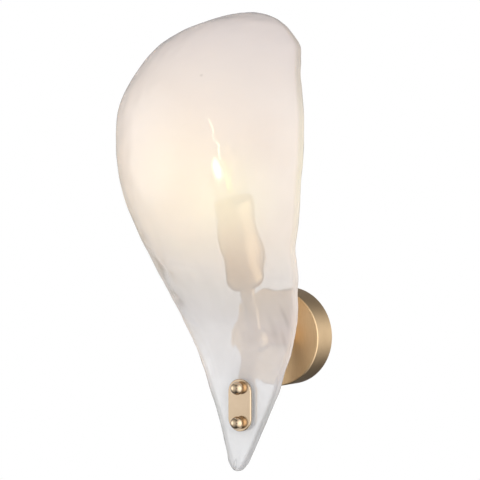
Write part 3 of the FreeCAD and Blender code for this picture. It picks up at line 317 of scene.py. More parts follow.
def opal_glass():
    """Blown glass with a milky layer that thins to clear towards the tip, fire polished.

    The eye gets a soft white veil above, grey clear glass below, and a wet gloss all over. The lit
    lamp's light is painted into the veil round it as a warm glow, and painted shade darkens its colour
    below the lamp, in the lip and in three streaks by the right edge.
    """
    material = new_material("opal_glass_blown")
    tree = material.node_tree
    place = node(tree, "ShaderNodeTexCoord").outputs["Object"]
    split = node(tree, "ShaderNodeSeparateXYZ", {"Vector": place})
    clouds = node(tree, "ShaderNodeTexNoise", {
        "Vector": place, "Scale": 1 / (MILK_CLOUDS * MM), "Detail": 1.0,
    }).outputs["Fac"]
    drift = node(tree, "ShaderNodeMath", {0: clouds, 1: -0.5}, operation="ADD").outputs["Value"]
    height = node(tree, "ShaderNodeMath", {
        0: drift, 1: MILK_DRIFT * MM, 2: split.outputs["Z"],
    }, operation="MULTIPLY_ADD").outputs["Value"]
    level = node(tree, "ShaderNodeMapRange", {
        "Value": height, "From Min": GLASS_LOW * MM, "From Max": GLASS_HIGH * MM,
    }).outputs["Result"]

    thickness = node(tree, "ShaderNodeValToRGB", {"Fac": level}, stops=MILKINESS).outputs["Color"]
    side = node(tree, "ShaderNodeAttribute", attribute_name="thin_side").outputs["Fac"]
    thinned = node(tree, "ShaderNodeMath", {
        0: side, 1: -SIDE_THINNING, 2: 1.0,
    }, operation="MULTIPLY_ADD").outputs["Value"]
    veil = node(tree, "ShaderNodeMath", {
        0: thickness, 1: thinned,
    }, operation="MULTIPLY").outputs["Value"]
    at_edge = node(tree, "ShaderNodeAttribute", attribute_name="lip").outputs["Fac"]
    lip = node(tree, "ShaderNodeValToRGB", {"Fac": at_edge}, stops=LIP_FADE).outputs["Color"]
    milk_share = node(tree, "ShaderNodeMath", {
        0: lip, 1: LIP_MILK, 2: veil,
    }, operation="MULTIPLY_ADD", use_clamp=True).outputs["Value"]

    # The colours of the face and the lip carry painted shade
    face_tint_and_shade = node(tree, "ShaderNodeValToRGB", {"Fac": level}, stops=FACE_TINT_AND_SHADE).outputs["Color"]
    lip_tint_and_shade = node(tree, "ShaderNodeValToRGB", {"Fac": level}, stops=LIP_TINT_AND_SHADE).outputs["Color"]
    tint = node(tree, "ShaderNodeMix", {
        0: lip, MIX_FIRST: face_tint_and_shade, MIX_SECOND: lip_tint_and_shade,
    }, data_type="RGBA").outputs[MIX_RESULT]
    # Dark marks, three of them streaks of painted shade by the right edge
    for mark in GLASS_MARKS_AND_SHADE:
        tint = marked(tree, split, tint, *mark)
    cool = node(tree, "ShaderNodeVectorMath", {
        0: tint, 1: FRONT_LIT,
    }, operation="MULTIPLY").outputs["Vector"]
    warm = node(tree, "ShaderNodeVectorMath", {
        0: tint, 1: BACK_LIT,
    }, operation="MULTIPLY").outputs["Vector"]

    waves = node(tree, "ShaderNodeTexNoise", {
        "Vector": place, "Scale": 1 / (SKIN_WAVES * MM), "Detail": 1.0,
    }).outputs["Fac"]
    skin = node(tree, "ShaderNodeBump", {
        "Height": waves, "Strength": 0.3, "Distance": 1.0 * MM,
    }).outputs["Normal"]
    clear = node(tree, "ShaderNodeBsdfGlass", {
        "Color": linear("f6f6f6"), "Roughness": 0.02, "IOR": GLASS_IOR, "Normal": skin,
    }).outputs["BSDF"]
    lit = node(tree, "ShaderNodeBsdfDiffuse", {"Color": cool, "Normal": skin}).outputs["BSDF"]
    through = node(tree, "ShaderNodeBsdfTranslucent", {"Color": warm, "Normal": skin}).outputs["BSDF"]
    milk = node(tree, "ShaderNodeMixShader", {0: MILK_THROUGH, 1: lit, 2: through}).outputs["Shader"]
    glow = node(tree, "ShaderNodeEmission", {
        "Color": lamp_light_in_milk(tree, place), "Strength": 1.0,
    }).outputs["Emission"]
    glowing_milk = node(tree, "ShaderNodeAddShader", {0: milk, 1: glow}).outputs["Shader"]
    gloss = node(tree, "ShaderNodeBsdfGlossy", {
        "Color": grey(1.0), "Roughness": 0.05, "Normal": skin,
    }).outputs["BSDF"]
    glazed = node(tree, "ShaderNodeMixShader", {
        0: mirror_share(tree, GLASS_IOR, skin), 1: glowing_milk, 2: gloss,
    }).outputs["Shader"]
    glass = node(tree, "ShaderNodeMixShader", {0: milk_share, 1: clear, 2: glazed}).outputs["Shader"]
    return finish_material(material, lets_lamps_through(tree, glass, share=0.85))


# ---------------------------------------------------------------- clear and glowing materials
LAMP_GLASS_IOR = 1.45
LAMP_GLASS_WAVES = 16.67  # length of the waves in the thin drawn wall
SILICONE_IOR = 1.41
SILICONE_CLOUDS = 3.333  # size of the cloudy patches in it
SILICONE_HAZE = 0.65  # share of it that looks cloudy and not clear
HAZE_THROUGH = 0.6  # share of the haze's light that goes on through
COIL_BEADS = 1.111  # brighter and darker spots of the coil, coarser than its real turns to show


def lamp_glass():
    """Thin clear lamp glass: almost nothing but its reflections, a faint edge and the glare that the
    filament throws into its wall and its drawn tail."""
    material = new_material("clear_lamp_glass")
    tree = material.node_tree
    place = node(tree, "ShaderNodeTexCoord").outputs["Object"]
    waves = node(tree, "ShaderNodeTexNoise", {
        "Vector": place, "Scale": 1 / (LAMP_GLASS_WAVES * MM), "Detail": 1.0,
    }).outputs["Fac"]
    skin = node(tree, "ShaderNodeBump", {
        "Height": waves, "Strength": 0.1, "Distance": 0.5 * MM,
    }).outputs["Normal"]
    open_share = node(tree, "ShaderNodeBsdfTransparent", {"Color": linear("fdfcf8")}).outputs["BSDF"]
    gloss = node(tree, "ShaderNodeBsdfGlossy", {
        "Color": grey(1.0), "Roughness": 0.03, "Normal": skin,
    }).outputs["BSDF"]
    thin = node(tree, "ShaderNodeMixShader", {
        0: mirror_share(tree, LAMP_GLASS_IOR, skin), 1: open_share, 2: gloss,
    }).outputs["Shader"]
    glare = node(tree, "ShaderNodeAttribute", attribute_name="glare").outputs["Fac"]
    light = node(tree, "ShaderNodeEmission", {
        "Color": linear("fff0c8"), "Strength": 13.0,
    }).outputs["Emission"]
    bright = node(tree, "ShaderNodeMixShader", {0: glare, 1: thin, 2: light}).outputs["Shader"]
    return finish_material(material, lets_lamps_through(tree, bright, share=0.95))


def gasket_silicone():
    """Moulded clear silicone: soft and slightly cloudy, so it looks whitish, with a satin skin."""
    material = new_material("moulded_silicone")
    tree = material.node_tree
    place = node(tree, "ShaderNodeTexCoord").outputs["Object"]
    clouds = node(tree, "ShaderNodeTexNoise", {
        "Vector": place, "Scale": 1 / (SILICONE_CLOUDS * MM), "Detail": 2.0,
    }).outputs["Fac"]
    shade = node(tree, "ShaderNodeValToRGB", {"Fac": clouds}, stops=[
        (0.3, "ecedec"), (0.7, "f8f8f7"),
    ]).outputs["Color"]
    rough = node(tree, "ShaderNodeValToRGB", {"Fac": clouds}, stops=[
        (0.3, 0.18), (0.7, 0.3),
    ]).outputs["Color"]
    lit = node(tree, "ShaderNodeBsdfDiffuse", {"Color": shade}).outputs["BSDF"]
    through = node(tree, "ShaderNodeBsdfTranslucent", {"Color": shade}).outputs["BSDF"]
    clear = node(tree, "ShaderNodeBsdfTransparent", {"Color": linear("fbfbfb")}).outputs["BSDF"]
    haze = node(tree, "ShaderNodeMixShader", {0: HAZE_THROUGH, 1: lit, 2: through}).outputs["Shader"]
    body = node(tree, "ShaderNodeMixShader", {0: SILICONE_HAZE, 1: clear, 2: haze}).outputs["Shader"]
    gloss = node(tree, "ShaderNodeBsdfGlossy", {
        "Color": grey(1.0), "Roughness": rough,
    }).outputs["BSDF"]
    skin = node(tree, "ShaderNodeNewGeometry").outputs["Normal"]
    skinned = node(tree, "ShaderNodeMixShader", {
        0: mirror_share(tree, SILICONE_IOR, skin), 1: body, 2: gloss,
    }).outputs["Shader"]
    return finish_material(material, lets_lamps_through(tree, skinned, share=0.7))


def lit_filament():
    """Hot coiled tungsten: it gives light, a little unevenly along its length. It is a dim gold,
    because most of what shows is its glare in the glass."""
    material = new_material("coiled_tungsten")
    tree = material.node_tree
    place = node(tree, "ShaderNodeTexCoord").outputs["Object"]
    beads = node(tree, "ShaderNodeTexNoise", {
        "Vector": place, "Scale": 1 / (COIL_BEADS * MM), "Detail": 1.0,
    }).outputs["Fac"]
    shade = node(tree, "ShaderNodeValToRGB", {"Fac": beads}, stops=[
        (0.3, "ffd58a"), (0.7, "fff6e0"),
    ]).outputs["Color"]
    body = node(tree, "ShaderNodeBsdfPrincipled", {
        "Base Color": shade, "Roughness": 0.5, "Emission Color": shade, "Emission Strength": 0.3,
    })
    return finish_material(material, body.outputs["BSDF"])


# Roughness from the glossiest to the dullest place, the gap of the lines and the size of the grain in
# millimetres, and how much longer the lines are along X, Y and Z
FINISHES = {
    # Brushed brass under clear lacquer: soft golden sheen in fine lines.
    "satin_brass": brushed_metal(
        "satin_brass_lacquered", "d6b78e", "e4c69c", rough=(0.28, 0.40), line_gap=0.35, run=(1, 1, 30),
    ),
    # Buffed brass: sharp reflections with the faintest haze of polish lines.
    "polished_brass": brushed_metal(
        "buffed_brass", "cfb89b", "d9c2a6", rough=(0.12, 0.18), line_gap=0.3, run=(1, 1, 12), bump=0.05,
    ),
    # Bare machined brass of terminals and nuts: yellow, with turning lines.
    "terminal_brass": brushed_metal(
        "machined_brass", "b39450", "c9a963", rough=(0.25, 0.4), line_gap=0.25, run=(12, 1, 1),
    ),
    # Stamped and tinned brass of lugs: dull silver with a warm cast.
    "tinned_brass": brushed_metal(
        "stamped_tinned_brass", "b9b4a6", "cfcabd", rough=(0.28, 0.42), line_gap=0.3, run=(6, 1, 1),
    ),
    # Zinc-plated steel: bluish grey with rolled streaks.
    "zinc_steel": brushed_metal(
        "zinc_plated_steel", "9aa0a4", "bcc1c4", rough=(0.3, 0.48), line_gap=0.5, run=(1, 1, 14),
    ),
    # Blackened steel of small screws: dark and oily.
    "dark_steel": brushed_metal(
        "blackened_steel", "2c2c2e", "434346", rough=(0.3, 0.45), line_gap=0.3, run=(4, 4, 1),
    ),
    # Nickel plate: bright and cool.
    "bright_nickel": brushed_metal(
        "nickel_plated_brass", "bdb9b0", "d6d2ca", rough=(0.14, 0.24), line_gap=0.3, run=(10, 10, 1),
    ),
    # Glazed porcelain: white body under a wet glaze.
    "porcelain": moulded(
        "glazed_porcelain", "e6e2d8", "f1eee6", rough=0.3, speck=1.5, coat=0.8, subsurface=0.1,
    ),
    # Moulded nylon of the terminal block: waxy off-white.
    "white_plastic": moulded(
        "moulded_nylon", "e2e0d8", "ecebe4", rough=0.42, speck=0.8, subsurface=0.15,
    ),
    # Black glass poured under a lamp cap: deep black with a soft shine.
    "black_glass": moulded("poured_black_glass", "0d0d10", "191a20", rough=0.18, speck=1.2, coat=0.4),
    # PVC wire sheaths: smooth, slightly waxy.
    "brown_wire": moulded("brown_pvc", "4a2a18", "5d3822", rough=0.38, speck=0.7),
    "blue_wire": moulded("blue_pvc", "1f4f96", "2c62ad", rough=0.38, speck=0.7),
    # The earth wire's sheath runs from green to yellow in soft patches.
    "green_wire": moulded("green_yellow_pvc", "3c8a2f", "c9c22a", rough=0.38, speck=3.0),
    "clear_silicone": gasket_silicone(),
    "clear_glass": lamp_glass(),
    "milk_glass": opal_glass(),
    "lit_filament": lit_filament(),
}


# ---------------------------------------------------------------- making pieces
def link(name, mesh, body, slot, stands_for):
    """Puts a mesh in the scene on a body, with its finish, in place of the named node."""
    piece = bpy.data.objects.new(name, mesh)
    bpy.context.scene.collection.objects.link(piece)
    mesh.materials.clear()
    mesh.materials.append(FINISHES[slot])
    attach(piece, body)
    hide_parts(stands_for)


def mesh_of(shape, name, sharp=35):
    """Mesh of a bmesh, smooth but for edges sharper than the given angle."""
    mesh = bpy.data.meshes.new(name)
    bmesh.ops.recalc_face_normals(shape, faces=shape.faces)
    shape.to_mesh(mesh)
    shape.free()
    mesh.shade_smooth()
    mesh.set_sharp_from_angle(angle=math.radians(sharp))
    return mesh


def share_between(value, start, full):
    """0 up to start, 1 from full on, and evenly rising between them."""
    return min(1.0, max(0.0, (value - start) / (full - start)))


def bell(value, place, spread):
    """1 at the place, and falling off to both sides of it."""
    return math.exp(-(((value - place) / spread) ** 2))


def curve_through(knots, values, place):
    """Value at place of a smooth line through values at the knots."""
    last = len(knots) - 1
    span = 0
    while span < last - 1 and place > knots[span + 1]:
        span += 1

    def slope(at):
        if at == 0 or at == last:
            near = min(at, last - 1)
            return (values[near + 1] - values[near]) / (knots[near + 1] - knots[near])
        before = knots[at] - knots[at - 1]
        after = knots[at + 1] - knots[at]
        rise_before = (values[at] - values[at - 1]) / before
        rise_after = (values[at + 1] - values[at]) / after
        return (rise_before * after + rise_after * before) / (before + after)

    length = knots[span + 1] - knots[span]
    share = (place - knots[span]) / length
    start, end = values[span], values[span + 1]
    pull_start, pull_end = slope(span) * length, slope(span + 1) * length
    return (
        start * (1 + 2 * share) * (1 - share) ** 2 + pull_start * share * (1 - share) ** 2
        + end * share ** 2 * (3 - 2 * share) - pull_end * share ** 2 * (1 - share)
    )


# ---------------------------------------------------------------- glass petal
# From the low tip to the top: height of the edge above the clamp, half width with its round edge,
# how far out the edge lies from the glass's face at the clamp, and how much further out and up the
# middle of the face lies.
PETAL = [
    (-63.9, 3.4, 9.4, 0.03, 0.0),
    (-56.5, 10.0, 7.0, 0.4, 0.0),
    (-46.5, 14.2, 4.4, 0.6, 0.0),
    (-32.0, 20.6, 1.5, 0.7, 0.0),
    (-17.0, 26.6, -0.9, 1.3, 0.0),
    (0.3, 33.7, -2.2, 2.2, 0.0),
    (18.0, 40.4, -2.3, 2.5, 0.0),
    (33.0, 45.6, -2.2, 3.6, 0.0),
    (48.0, 52.0, -1.2, 6.5, 0.0),
    (78.0, 64.3, 4.6, 15.6, -1.0),
    (108.0, 74.1, 18.4, 25.2, -2.0),
    (138.0, 82.5, 34.0, 32.5, -2.0),
    (173.0, 92.6, 50.2, 37.4, -1.0),
    (213.0, 101.7, 62.2, 40.0, 0.0),
    (253.0, 106.6, 64.8, 40.4, 4.0),
    (293.0, 104.3, 62.9, 37.4, 9.0),
    (323.0, 95.6, 50.8, 36.6, 11.0),
    (343.0, 87.4, 39.0, 33.6, 11.5),
    (361.0, 71.2, 28.4, 21.6, 10.0),
    (372.2, 53.6, 18.0, 12.8, 6.0),
    (380.2, 34.8, 5.8, 8.0, 3.4),
    (385.0, 18.6, -2.6, 3.4, 1.0),
    (387.1, 10.6, -6.6, 0.9, 0.2),
]
GLASS_FACE = 94.6  # the glass's outer face at the clamp, out from the wall
CLAMP_DROP = 63.3  # the clamp's middle lies this far below the canopy's axis
GLASS_THICK = 6.0
EDGE_SHARE = 0.35  # the round edge adds this share of the thickness to the half width
BOLT_REACH = 17  # the bolts lie this far above and below the clamp's middle
BOLT_HOLE = 4.1  # radius of the holes in the glass
DRILL_LENGTH = 18.0
PETAL_SHARP = 60  # degrees, above which an edge of the glass stays sharp
WELD, SLIVER = 0.02, 0.01  # points nearer than this join, and edges shorter than this go
BOX_MARGIN = 0.02  # the waves stay this far inside the blank's box

# Unevenness of blown glass. The whole wall swells in and out, its two faces wave and ripple each on
# its own, and the waves grow towards the tip: how much in millimetres, and how long each is
SWELL, SWELL_LENGTH = 0.7, 55.56
SWELL_START = Vector((3, 1, 7))
WAVE, WAVE_LENGTH = 0.5, 20.0
RIPPLE, RIPPLE_LENGTH = 0.10, 7.692
FACES_APART = 40  # how far apart the two faces take their waves, so that they are unlike
LOW_WAVES = 0.9  # the waves grow by this share from the first of these heights to the second
LOW_START, LOW_FULL = 110, 40
# The top's left shoulder hangs lower: by how much, where across, how wide, and from which height on
SHOULDER_DROP, SHOULDER_PLACE, SHOULDER_SPREAD = 2.4, -38, 45
SHOULDER_START, SHOULDER_FULL = 245, 295
# Where the right edge swells (+) or dips (-): height, size and spread.
EDGE_WAVES = [
    (279, 2.0, 8), (263, 0.8, 6), (250, -0.8, 6), (213, 0.7, 16), (165, 1.0, 12), (130, 1.2, 22),
    (91, -2.8, 11), (64, 1.5, 9), (48, -1.4, 7), (20, -0.7, 14), (-88, -2.8, 26),
]
EDGE_FALL = 4  # how fast they die away from the edge: a power of the share of the half width
LIP_LEFT, LIP_RIGHT = 3.0, 5.5  # the thick round lip shades off over this much of the face
# The clear strip along the left side: shares of the half width where it starts and is full, and the
# heights from which down it starts and is full
STRIP_START, STRIP_FULL = 0.62, 0.82
STRIP_HIGH, STRIP_LOW = 150, 70


def petal_loop(station, columns, round_steps):
    """Points round one section of the petal, each as (middle of the wall, way to the surface)."""
    height, half, edge_out, crown_out, crown_up = station
    half -= GLASS_THICK * EDGE_SHARE
    edge = Vector((0, -(GLASS_FACE + edge_out), height - CLAMP_DROP))
    crown = edge + Vector((0, -crown_out, crown_up))
    rise = (crown - edge).length
    outward = (crown - edge).normalized()
    radius = (half * half + rise * rise) / (2 * rise)
    centre = crown - outward * radius
    swing = math.asin(min(1.0, half / radius))
    if rise > radius:
        swing = math.pi - swing
    across = Vector((1, 0, 0))
    middle = radius - GLASS_THICK / 2
    outer = []
    for column in range(columns + 1):
        angle = swing * (2 * column / columns - 1)
        way = across * math.sin(angle) + outward * math.cos(angle)
        outer.append((centre + way * middle, way))
    loop = list(outer)
    for side in (1, -1):
        end = outer[-1] if side == 1 else outer[0]
        off = across * side * math.cos(swing) - outward * math.sin(swing)
        turn = []
        for step in range(1, round_steps):
            angle = math.pi * step / round_steps
            turn.append((end[0], end[1] * math.cos(angle) + off * math.sin(angle)))
        if side == -1:
            turn.reverse()
        loop += turn
        if side == 1:
            loop += [(point, -way) for point, way in reversed(outer)]
    return loop


def uneven(point, way, height, half, box):
    """Point of the petal's surface, at this height off the middle of its wall, with its waves."""
    swell = noise.noise(point / SWELL_LENGTH + SWELL_START) * SWELL
    low_down = 1 + LOW_WAVES * share_between(point.z, LOW_START, LOW_FULL)
    wave = noise.noise((point + way * FACES_APART) / WAVE_LENGTH) * WAVE * low_down
    ripple = noise.noise((point + way * FACES_APART) / RIPPLE_LENGTH) * RIPPLE * low_down
    surface = point + Vector((0, -1, 0)) * swell
    surface += way * (height + (wave + ripple) * height / (GLASS_THICK / 2))
    near_edge = share_between(point.x, 0, half) ** EDGE_FALL
    for at, size, spread in EDGE_WAVES:
        surface.x += near_edge * size * bell(point.z, at, spread)
    high_up = share_between(point.z, SHOULDER_START, SHOULDER_FULL)
    surface.z -= SHOULDER_DROP * high_up * bell(point.x, SHOULDER_PLACE, SHOULDER_SPREAD)
    for axis, (low, high) in enumerate(zip(*box)):
        surface[axis] = min(max(surface[axis], low / MM + BOX_MARGIN), high / MM - BOX_MARGIN)
    return surface


def petal_mesh(columns=72, step=3.0, round_steps=8, end_steps=5):
    """Petal as rings of points from tip to top, with soft waves in its wall and at its edge."""
    knots = [0.0]
    for low, high in zip(PETAL, PETAL[1:]):
        knots.append(knots[-1] + Vector((high[0] - low[0], high[1] - low[1], high[2] - low[2])).length)
    wall = GLASS_THICK / 2
    first, last = knots[0] + wall, knots[-1] - wall
    count = round((last - first) / step)
    loops = []
    halves = []
    for ring in range(count + 1):
        at = first + (last - first) * ring / count
        station = [curve_through(knots, column, at) for column in zip(*PETAL)]
        loops.append(petal_loop(station, columns, round_steps))
        halves.append(station[1])

    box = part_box("glass_shade")
    shape = bmesh.new()
    lips = shape.verts.layers.float.new("lip")

    def ring_of(loop, half, lean=0.0, tangents=None):
        """One ring of points. A lean turns it in towards the petal's closed end."""
        ring = []
        for place, (point, way) in enumerate(loop):
            moved = point
            if tangents:
                moved = point + tangents[place] * wall * math.sin(lean)
            corner = shape.verts.new(uneven(moved, way, wall * math.cos(lean), half, box) * MM)
            from_left = (point - loop[0][0]).length
            from_right = (point - loop[columns][0]).length
            corner[lips] = max(0.0, 1 - from_left / LIP_LEFT, 1 - from_right / LIP_RIGHT)
            ring.append(corner)
        return ring

    ends = []
    for end, near, half in ((loops[0], loops[1], halves[0]), (loops[-1], loops[-2], halves[-1])):
        tangents = [(a[0] - b[0]).normalized() for a, b in zip(end, near)]
        closing = []
        for part in range(1, end_steps + 1):
            closing.append(ring_of(end, half, math.pi / 2 * part / end_steps, tangents))
        ends.append(closing)
    low_end, high_end = ends
    body = [ring_of(loop, half) for loop, half in zip(loops, halves)]
    stack = list(reversed(low_end)) + body + high_end
    size = len(stack[0])
    for low, high in zip(stack, stack[1:]):
        for place in range(size):
            after = (place + 1) % size
            shape.faces.new((low[place], low[after], high[after], high[place]))
    back_start = columns + round_steps
    back_end = 2 * columns + round_steps
    for ring in (stack[0], stack[-1]):
        outer = ring[:columns + 1]
        inner = list(reversed(ring[back_start:back_end + 1]))
        for place in range(columns):
            shape.faces.new((outer[place], outer[place + 1], inner[place + 1], inner[place]))
        for side in (ring[columns:back_start + 1], ring[back_end:] + ring[:1]):
            shape.faces.new(side)
    bmesh.ops.remove_doubles(shape, verts=shape.verts, dist=WELD * MM)
    bmesh.ops.dissolve_degenerate(shape, edges=shape.edges, dist=SLIVER * MM)
    mesh = mesh_of(shape, "glass_petal", PETAL_SHARP)
    thin_side = mesh.attributes.new("thin_side", "FLOAT", "POINT")
    for point, share in zip(mesh.vertices, thin_side.data):
        share.value = side_share(point.co / MM)
    return mesh


def side_share(point):
    """How much a point of the petal lies in the clear strip along its left side, below the lamp."""
    heights = [row[0] - CLAMP_DROP for row in PETAL]
    half = curve_through(heights, [row[1] for row in PETAL], min(max(point.z, heights[0]), heights[-1]))
    beside = share_between(-point.x / half, STRIP_START, STRIP_FULL)
    below = share_between(point.z, STRIP_HIGH, STRIP_LOW)
    return beside * below


def drilled(mesh, name):
    """The mesh with the two bolt holes cut through it."""
    blank = bpy.data.objects.new(name + "_blank", mesh)
    bpy.context.scene.collection.objects.link(blank)
    drill_shape = bmesh.new()
    for height in (-CLAMP_DROP + BOLT_REACH, -CLAMP_DROP - BOLT_REACH):
        middle = Vector((0, -(GLASS_FACE - GLASS_THICK / 2), height))
        place = Matrix.Translation(middle * MM) @ WALL_PLACE
        bmesh.ops.create_cone(
            drill_shape, cap_ends=True, segments=48, radius1=BOLT_HOLE * MM, radius2=BOLT_HOLE * MM,
            depth=DRILL_LENGTH * MM, matrix=place,
        )
    drill = bpy.data.objects.new(name + "_drill", mesh_of(drill_shape, name + "_drill"))
    bpy.context.scene.collection.objects.link(drill)
    cutter = blank.modifiers.new("holes", "BOOLEAN")
    cutter.operation = "DIFFERENCE"
    cutter.solver = "EXACT"
    cutter.object = drill
    graph = bpy.context.evaluated_depsgraph_get()
    result = bpy.data.meshes.new_from_object(blank.evaluated_get(graph))
    for spent in (blank, drill):
        bpy.data.objects.remove(spent)
    result.name = name
    result.set_sharp_from_angle(angle=math.radians(PETAL_SHARP))
    return result


def make_petal():
    link("glass_petal", drilled(petal_mesh(), "glass_petal"), "fixture", "milk_glass", "glass_shade")


# ---------------------------------------------------------------- lamp and nuts
# Radius of the lamp's glass, and its distance along the lamp's axis
LAMP_GLASS = [
    (8.2, 138.0), (8.8, 142.5), (13.0, 150.5), (16.8, 161.2), (17.5, 170.1), (16.1, 180.8),
    (11.6, 192.4), (6.7, 200.4), (3.6, 207.5), (1.9, 216.4), (1.2, 226.4),
]
LAMP_WALL = 0.8  # thickness of the glass, which is full where its inside would be narrower than this
LAMP_SHARP = 40  # degrees, above which an edge of it stays sharp
TIP_ROUND = 0.5  # the drawn tip closes this far beyond its last ring
TAIL_START = 190.0
TAIL_LEAN = 8.0  # the drawn tip leans this far aside at its end
TAIL_BEND = 1.5  # power by which the lean grows along the tail
TAIL_KINKS = [(209, 1.6), (203, -1.6)]  # where along the axis the tail kinks, and how far aside
KINK_SPREAD = 3
# Where the filament's glare shows in the glass: along the axis, aside, and its spread
GLARE_ALONG, GLARE_ASIDE, GLARE_WIDE, GLARE_TALL = 181, 8.6, 2.8, 7.0
# The streak of light up the tail: how far aside it runs at each distance along the axis
STREAK = [(190, 3.4), (206, 1.8), (207.5, 3.0), (213, 1.8), (219, 0.7), (227, 0.0)]
STREAK_WIDE = 0.5
STREAK_SHARE = 0.6  # how bright it is beside the glare


def streak_aside(along):
    """How far aside of the lamp's axis the streak of light runs at this distance along it."""
    for (low, first), (high, second) in zip(STREAK, STREAK[1:]):
        if low <= along <= high:
            return first + (second - first) * (along - low) / (high - low)
    return STREAK[-1][1]


def glare_at(along, way):
    """How much of the filament's glare shows at a point of the lamp's glass, way off its middle."""
    if way.dot(VIEW_WAY) <= 0:
        return 0.0
    aside = way.dot(SIDE_WAY)
    glare = bell(aside, GLARE_ASIDE, GLARE_WIDE) * bell(along, GLARE_ALONG, GLARE_TALL)
    if along > STREAK[0][0]:
        glare = max(glare, STREAK_SHARE * bell(aside, streak_aside(along), STREAK_WIDE))
    return glare


def make_lamp_glass(sides=64, rows=90):
    """Thin closed wall of the lamp's glass with a tail that leans and kinks."""
    heights = [along for _, along in LAMP_GLASS]
    radii = [radius for radius, _ in LAMP_GLASS]
    start, end = heights[0], heights[-1]
    shape = bmesh.new()
    glare_of = {}

    def middle(along):
        """Middle of the glass, which follows the tail as it leans and kinks."""
        aside = 0.0
        if along > TAIL_START:
            aside = TAIL_LEAN * ((along - TAIL_START) / (end - TAIL_START)) ** TAIL_BEND
            aside += sum(size * bell(along, place, KINK_SPREAD) for place, size in TAIL_KINKS)
        return LAMP_BASE / MM + LAMP_WAY * along + SIDE_WAY * aside

    def ring_at(along, radius):
        ring = []
        for side in range(sides):
            angle = 2 * math.pi * side / sides
            way = LAMP_TURN @ (Vector((math.cos(angle), math.sin(angle), 0)) * radius)
            corner = shape.verts.new((middle(along) + way) * MM)
            glare_of[corner] = glare_at(along, way)
            ring.append(corner)
        return ring

    places = [start + (end - start) * row / rows for row in range(rows + 1)]
    outer = [ring_at(along, curve_through(heights, radii, along)) for along in places]
    inner = []
    for along in places:
        radius = curve_through(heights, radii, along) - LAMP_WALL
        if radius > LAMP_WALL:
            inner.append(ring_at(along, radius))
    inner.reverse()
    tip = shape.verts.new((middle(end) + LAMP_WAY * TIP_ROUND) * MM)
    glare_of[tip] = STREAK_SHARE
    inner_top = shape.verts.new((middle(places[len(inner) - 1]) + LAMP_WAY * LAMP_WALL) * MM)
    glare_of[inner_top] = 0.0
    for low, high in list(zip(outer, outer[1:])) + list(zip(inner, inner[1:])) + [(inner[-1], outer[0])]:
        for side in range(sides):
            turn = (side + 1) % sides
            shape.faces.new((low[side], low[turn], high[turn], high[side]))
    for ring, point in ((outer[-1], tip), (inner[0], inner_top)):
        for side in range(sides):
            shape.faces.new((ring[side], ring[(side + 1) % sides], point))
    shape.verts.index_update()
    values = [glare_of[corner] for corner in shape.verts]
    mesh = mesh_of(shape, "lamp_glass", LAMP_SHARP)
    glare = mesh.attributes.new("glare", "FLOAT", "POINT")
    for share, value in zip(glare.data, values):
        share.value = value
    link("lamp_glass", mesh, "bulb", "clear_glass", "bulb_glass")


def turned(name, profile, place, sides):
    """Mesh of a profile of (radius, height) points, from axis to axis, turned about it and placed."""
    shape = bmesh.new()
    rings = []
    for radius, height in profile:
        ring = []
        for side in range(sides if radius > 0 else 1):
            angle = 2 * math.pi * side / sides
            point = Vector((radius * math.cos(angle), radius * math.sin(angle), height)) * MM
            ring.append(shape.verts.new(place @ point))
        rings.append(ring)
    for low, high in zip(rings, rings[1:]):
        for side in range(sides):
            turn = (side + 1) % sides
            corners = [
                low[side % len(low)], low[turn % len(low)],
                high[turn % len(high)], high[side % len(high)],
            ]
            shape.faces.new(list(dict.fromkeys(corners)))
    return mesh_of(shape, name)


def make_ball_nuts(steps=40, sides=72):
    """Polished ball nuts, each a ball with a flat seat on the plate."""
    for name in ("upper", "lower"):
        low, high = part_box(name + "_ball_nut")
        radius = (high[0] - low[0]) / 2 / MM
        out = -low[1] / MM - radius
        seat = -high[1] / MM
        height = (high[2] + low[2]) / 2 / MM
        first = math.asin((seat - out) / radius)
        profile = [(0, seat)]
        for step in range(steps):
            angle = first + (math.pi / 2 - first) * step / steps
            profile.append((radius * math.cos(angle), out + radius * math.sin(angle)))
        profile.append((0, out + radius))
        place = Matrix.Translation(Vector((0, 0, height)) * MM) @ WALL_PLACE
        mesh = turned(name + "_nut_ball", profile, place, sides)
        link(name + "_nut_ball", mesh, name + "_nut", "polished_brass", name + "_ball_nut")


# ---------------------------------------------------------------- the rest
def dress_solids():
    """Gives every carried-over solid the finish of its slot in the record."""
    slots = {part["node"]: part["material_slot"] for part in frame["record"]["subparts"]}
    for name, piece in frame["nodes"].items():
        piece.data.materials.clear()
        piece.data.materials.append(FINISHES[slots[name]])


# ---------------------------------------------------------------- studio
# Places and sizes of the studio are in metres
SKY_STRENGTH = 0.80  # of the light on plain surfaces, before the panels add theirs
# The room that metal mirrors, from straight down at 0 to straight up at 1, and its darkest place
ROOM_BAND = [(0.0, 0.07), (0.30, 0.12), (0.46, 0.29), (0.60, 0.29), (0.78, 0.18), (1.0, 0.11)]
ROOM_DARKEST = 0.02
# In it, soft boxes, and the dark place where the camera stands. For each, which way it stands, half
# its width in degrees, and how much it adds
SOFT_BOXES = [(-38, 50, 0.62), (-64, 24, 1.15), (88, 55, 1.75), (30, 15, -0.75)]
BOX_FADE = 1.5  # a box fades out at this many half widths
BOX_SQUASH = (1, 1, 1.25)  # heights count by more, so each box is a little wider than tall
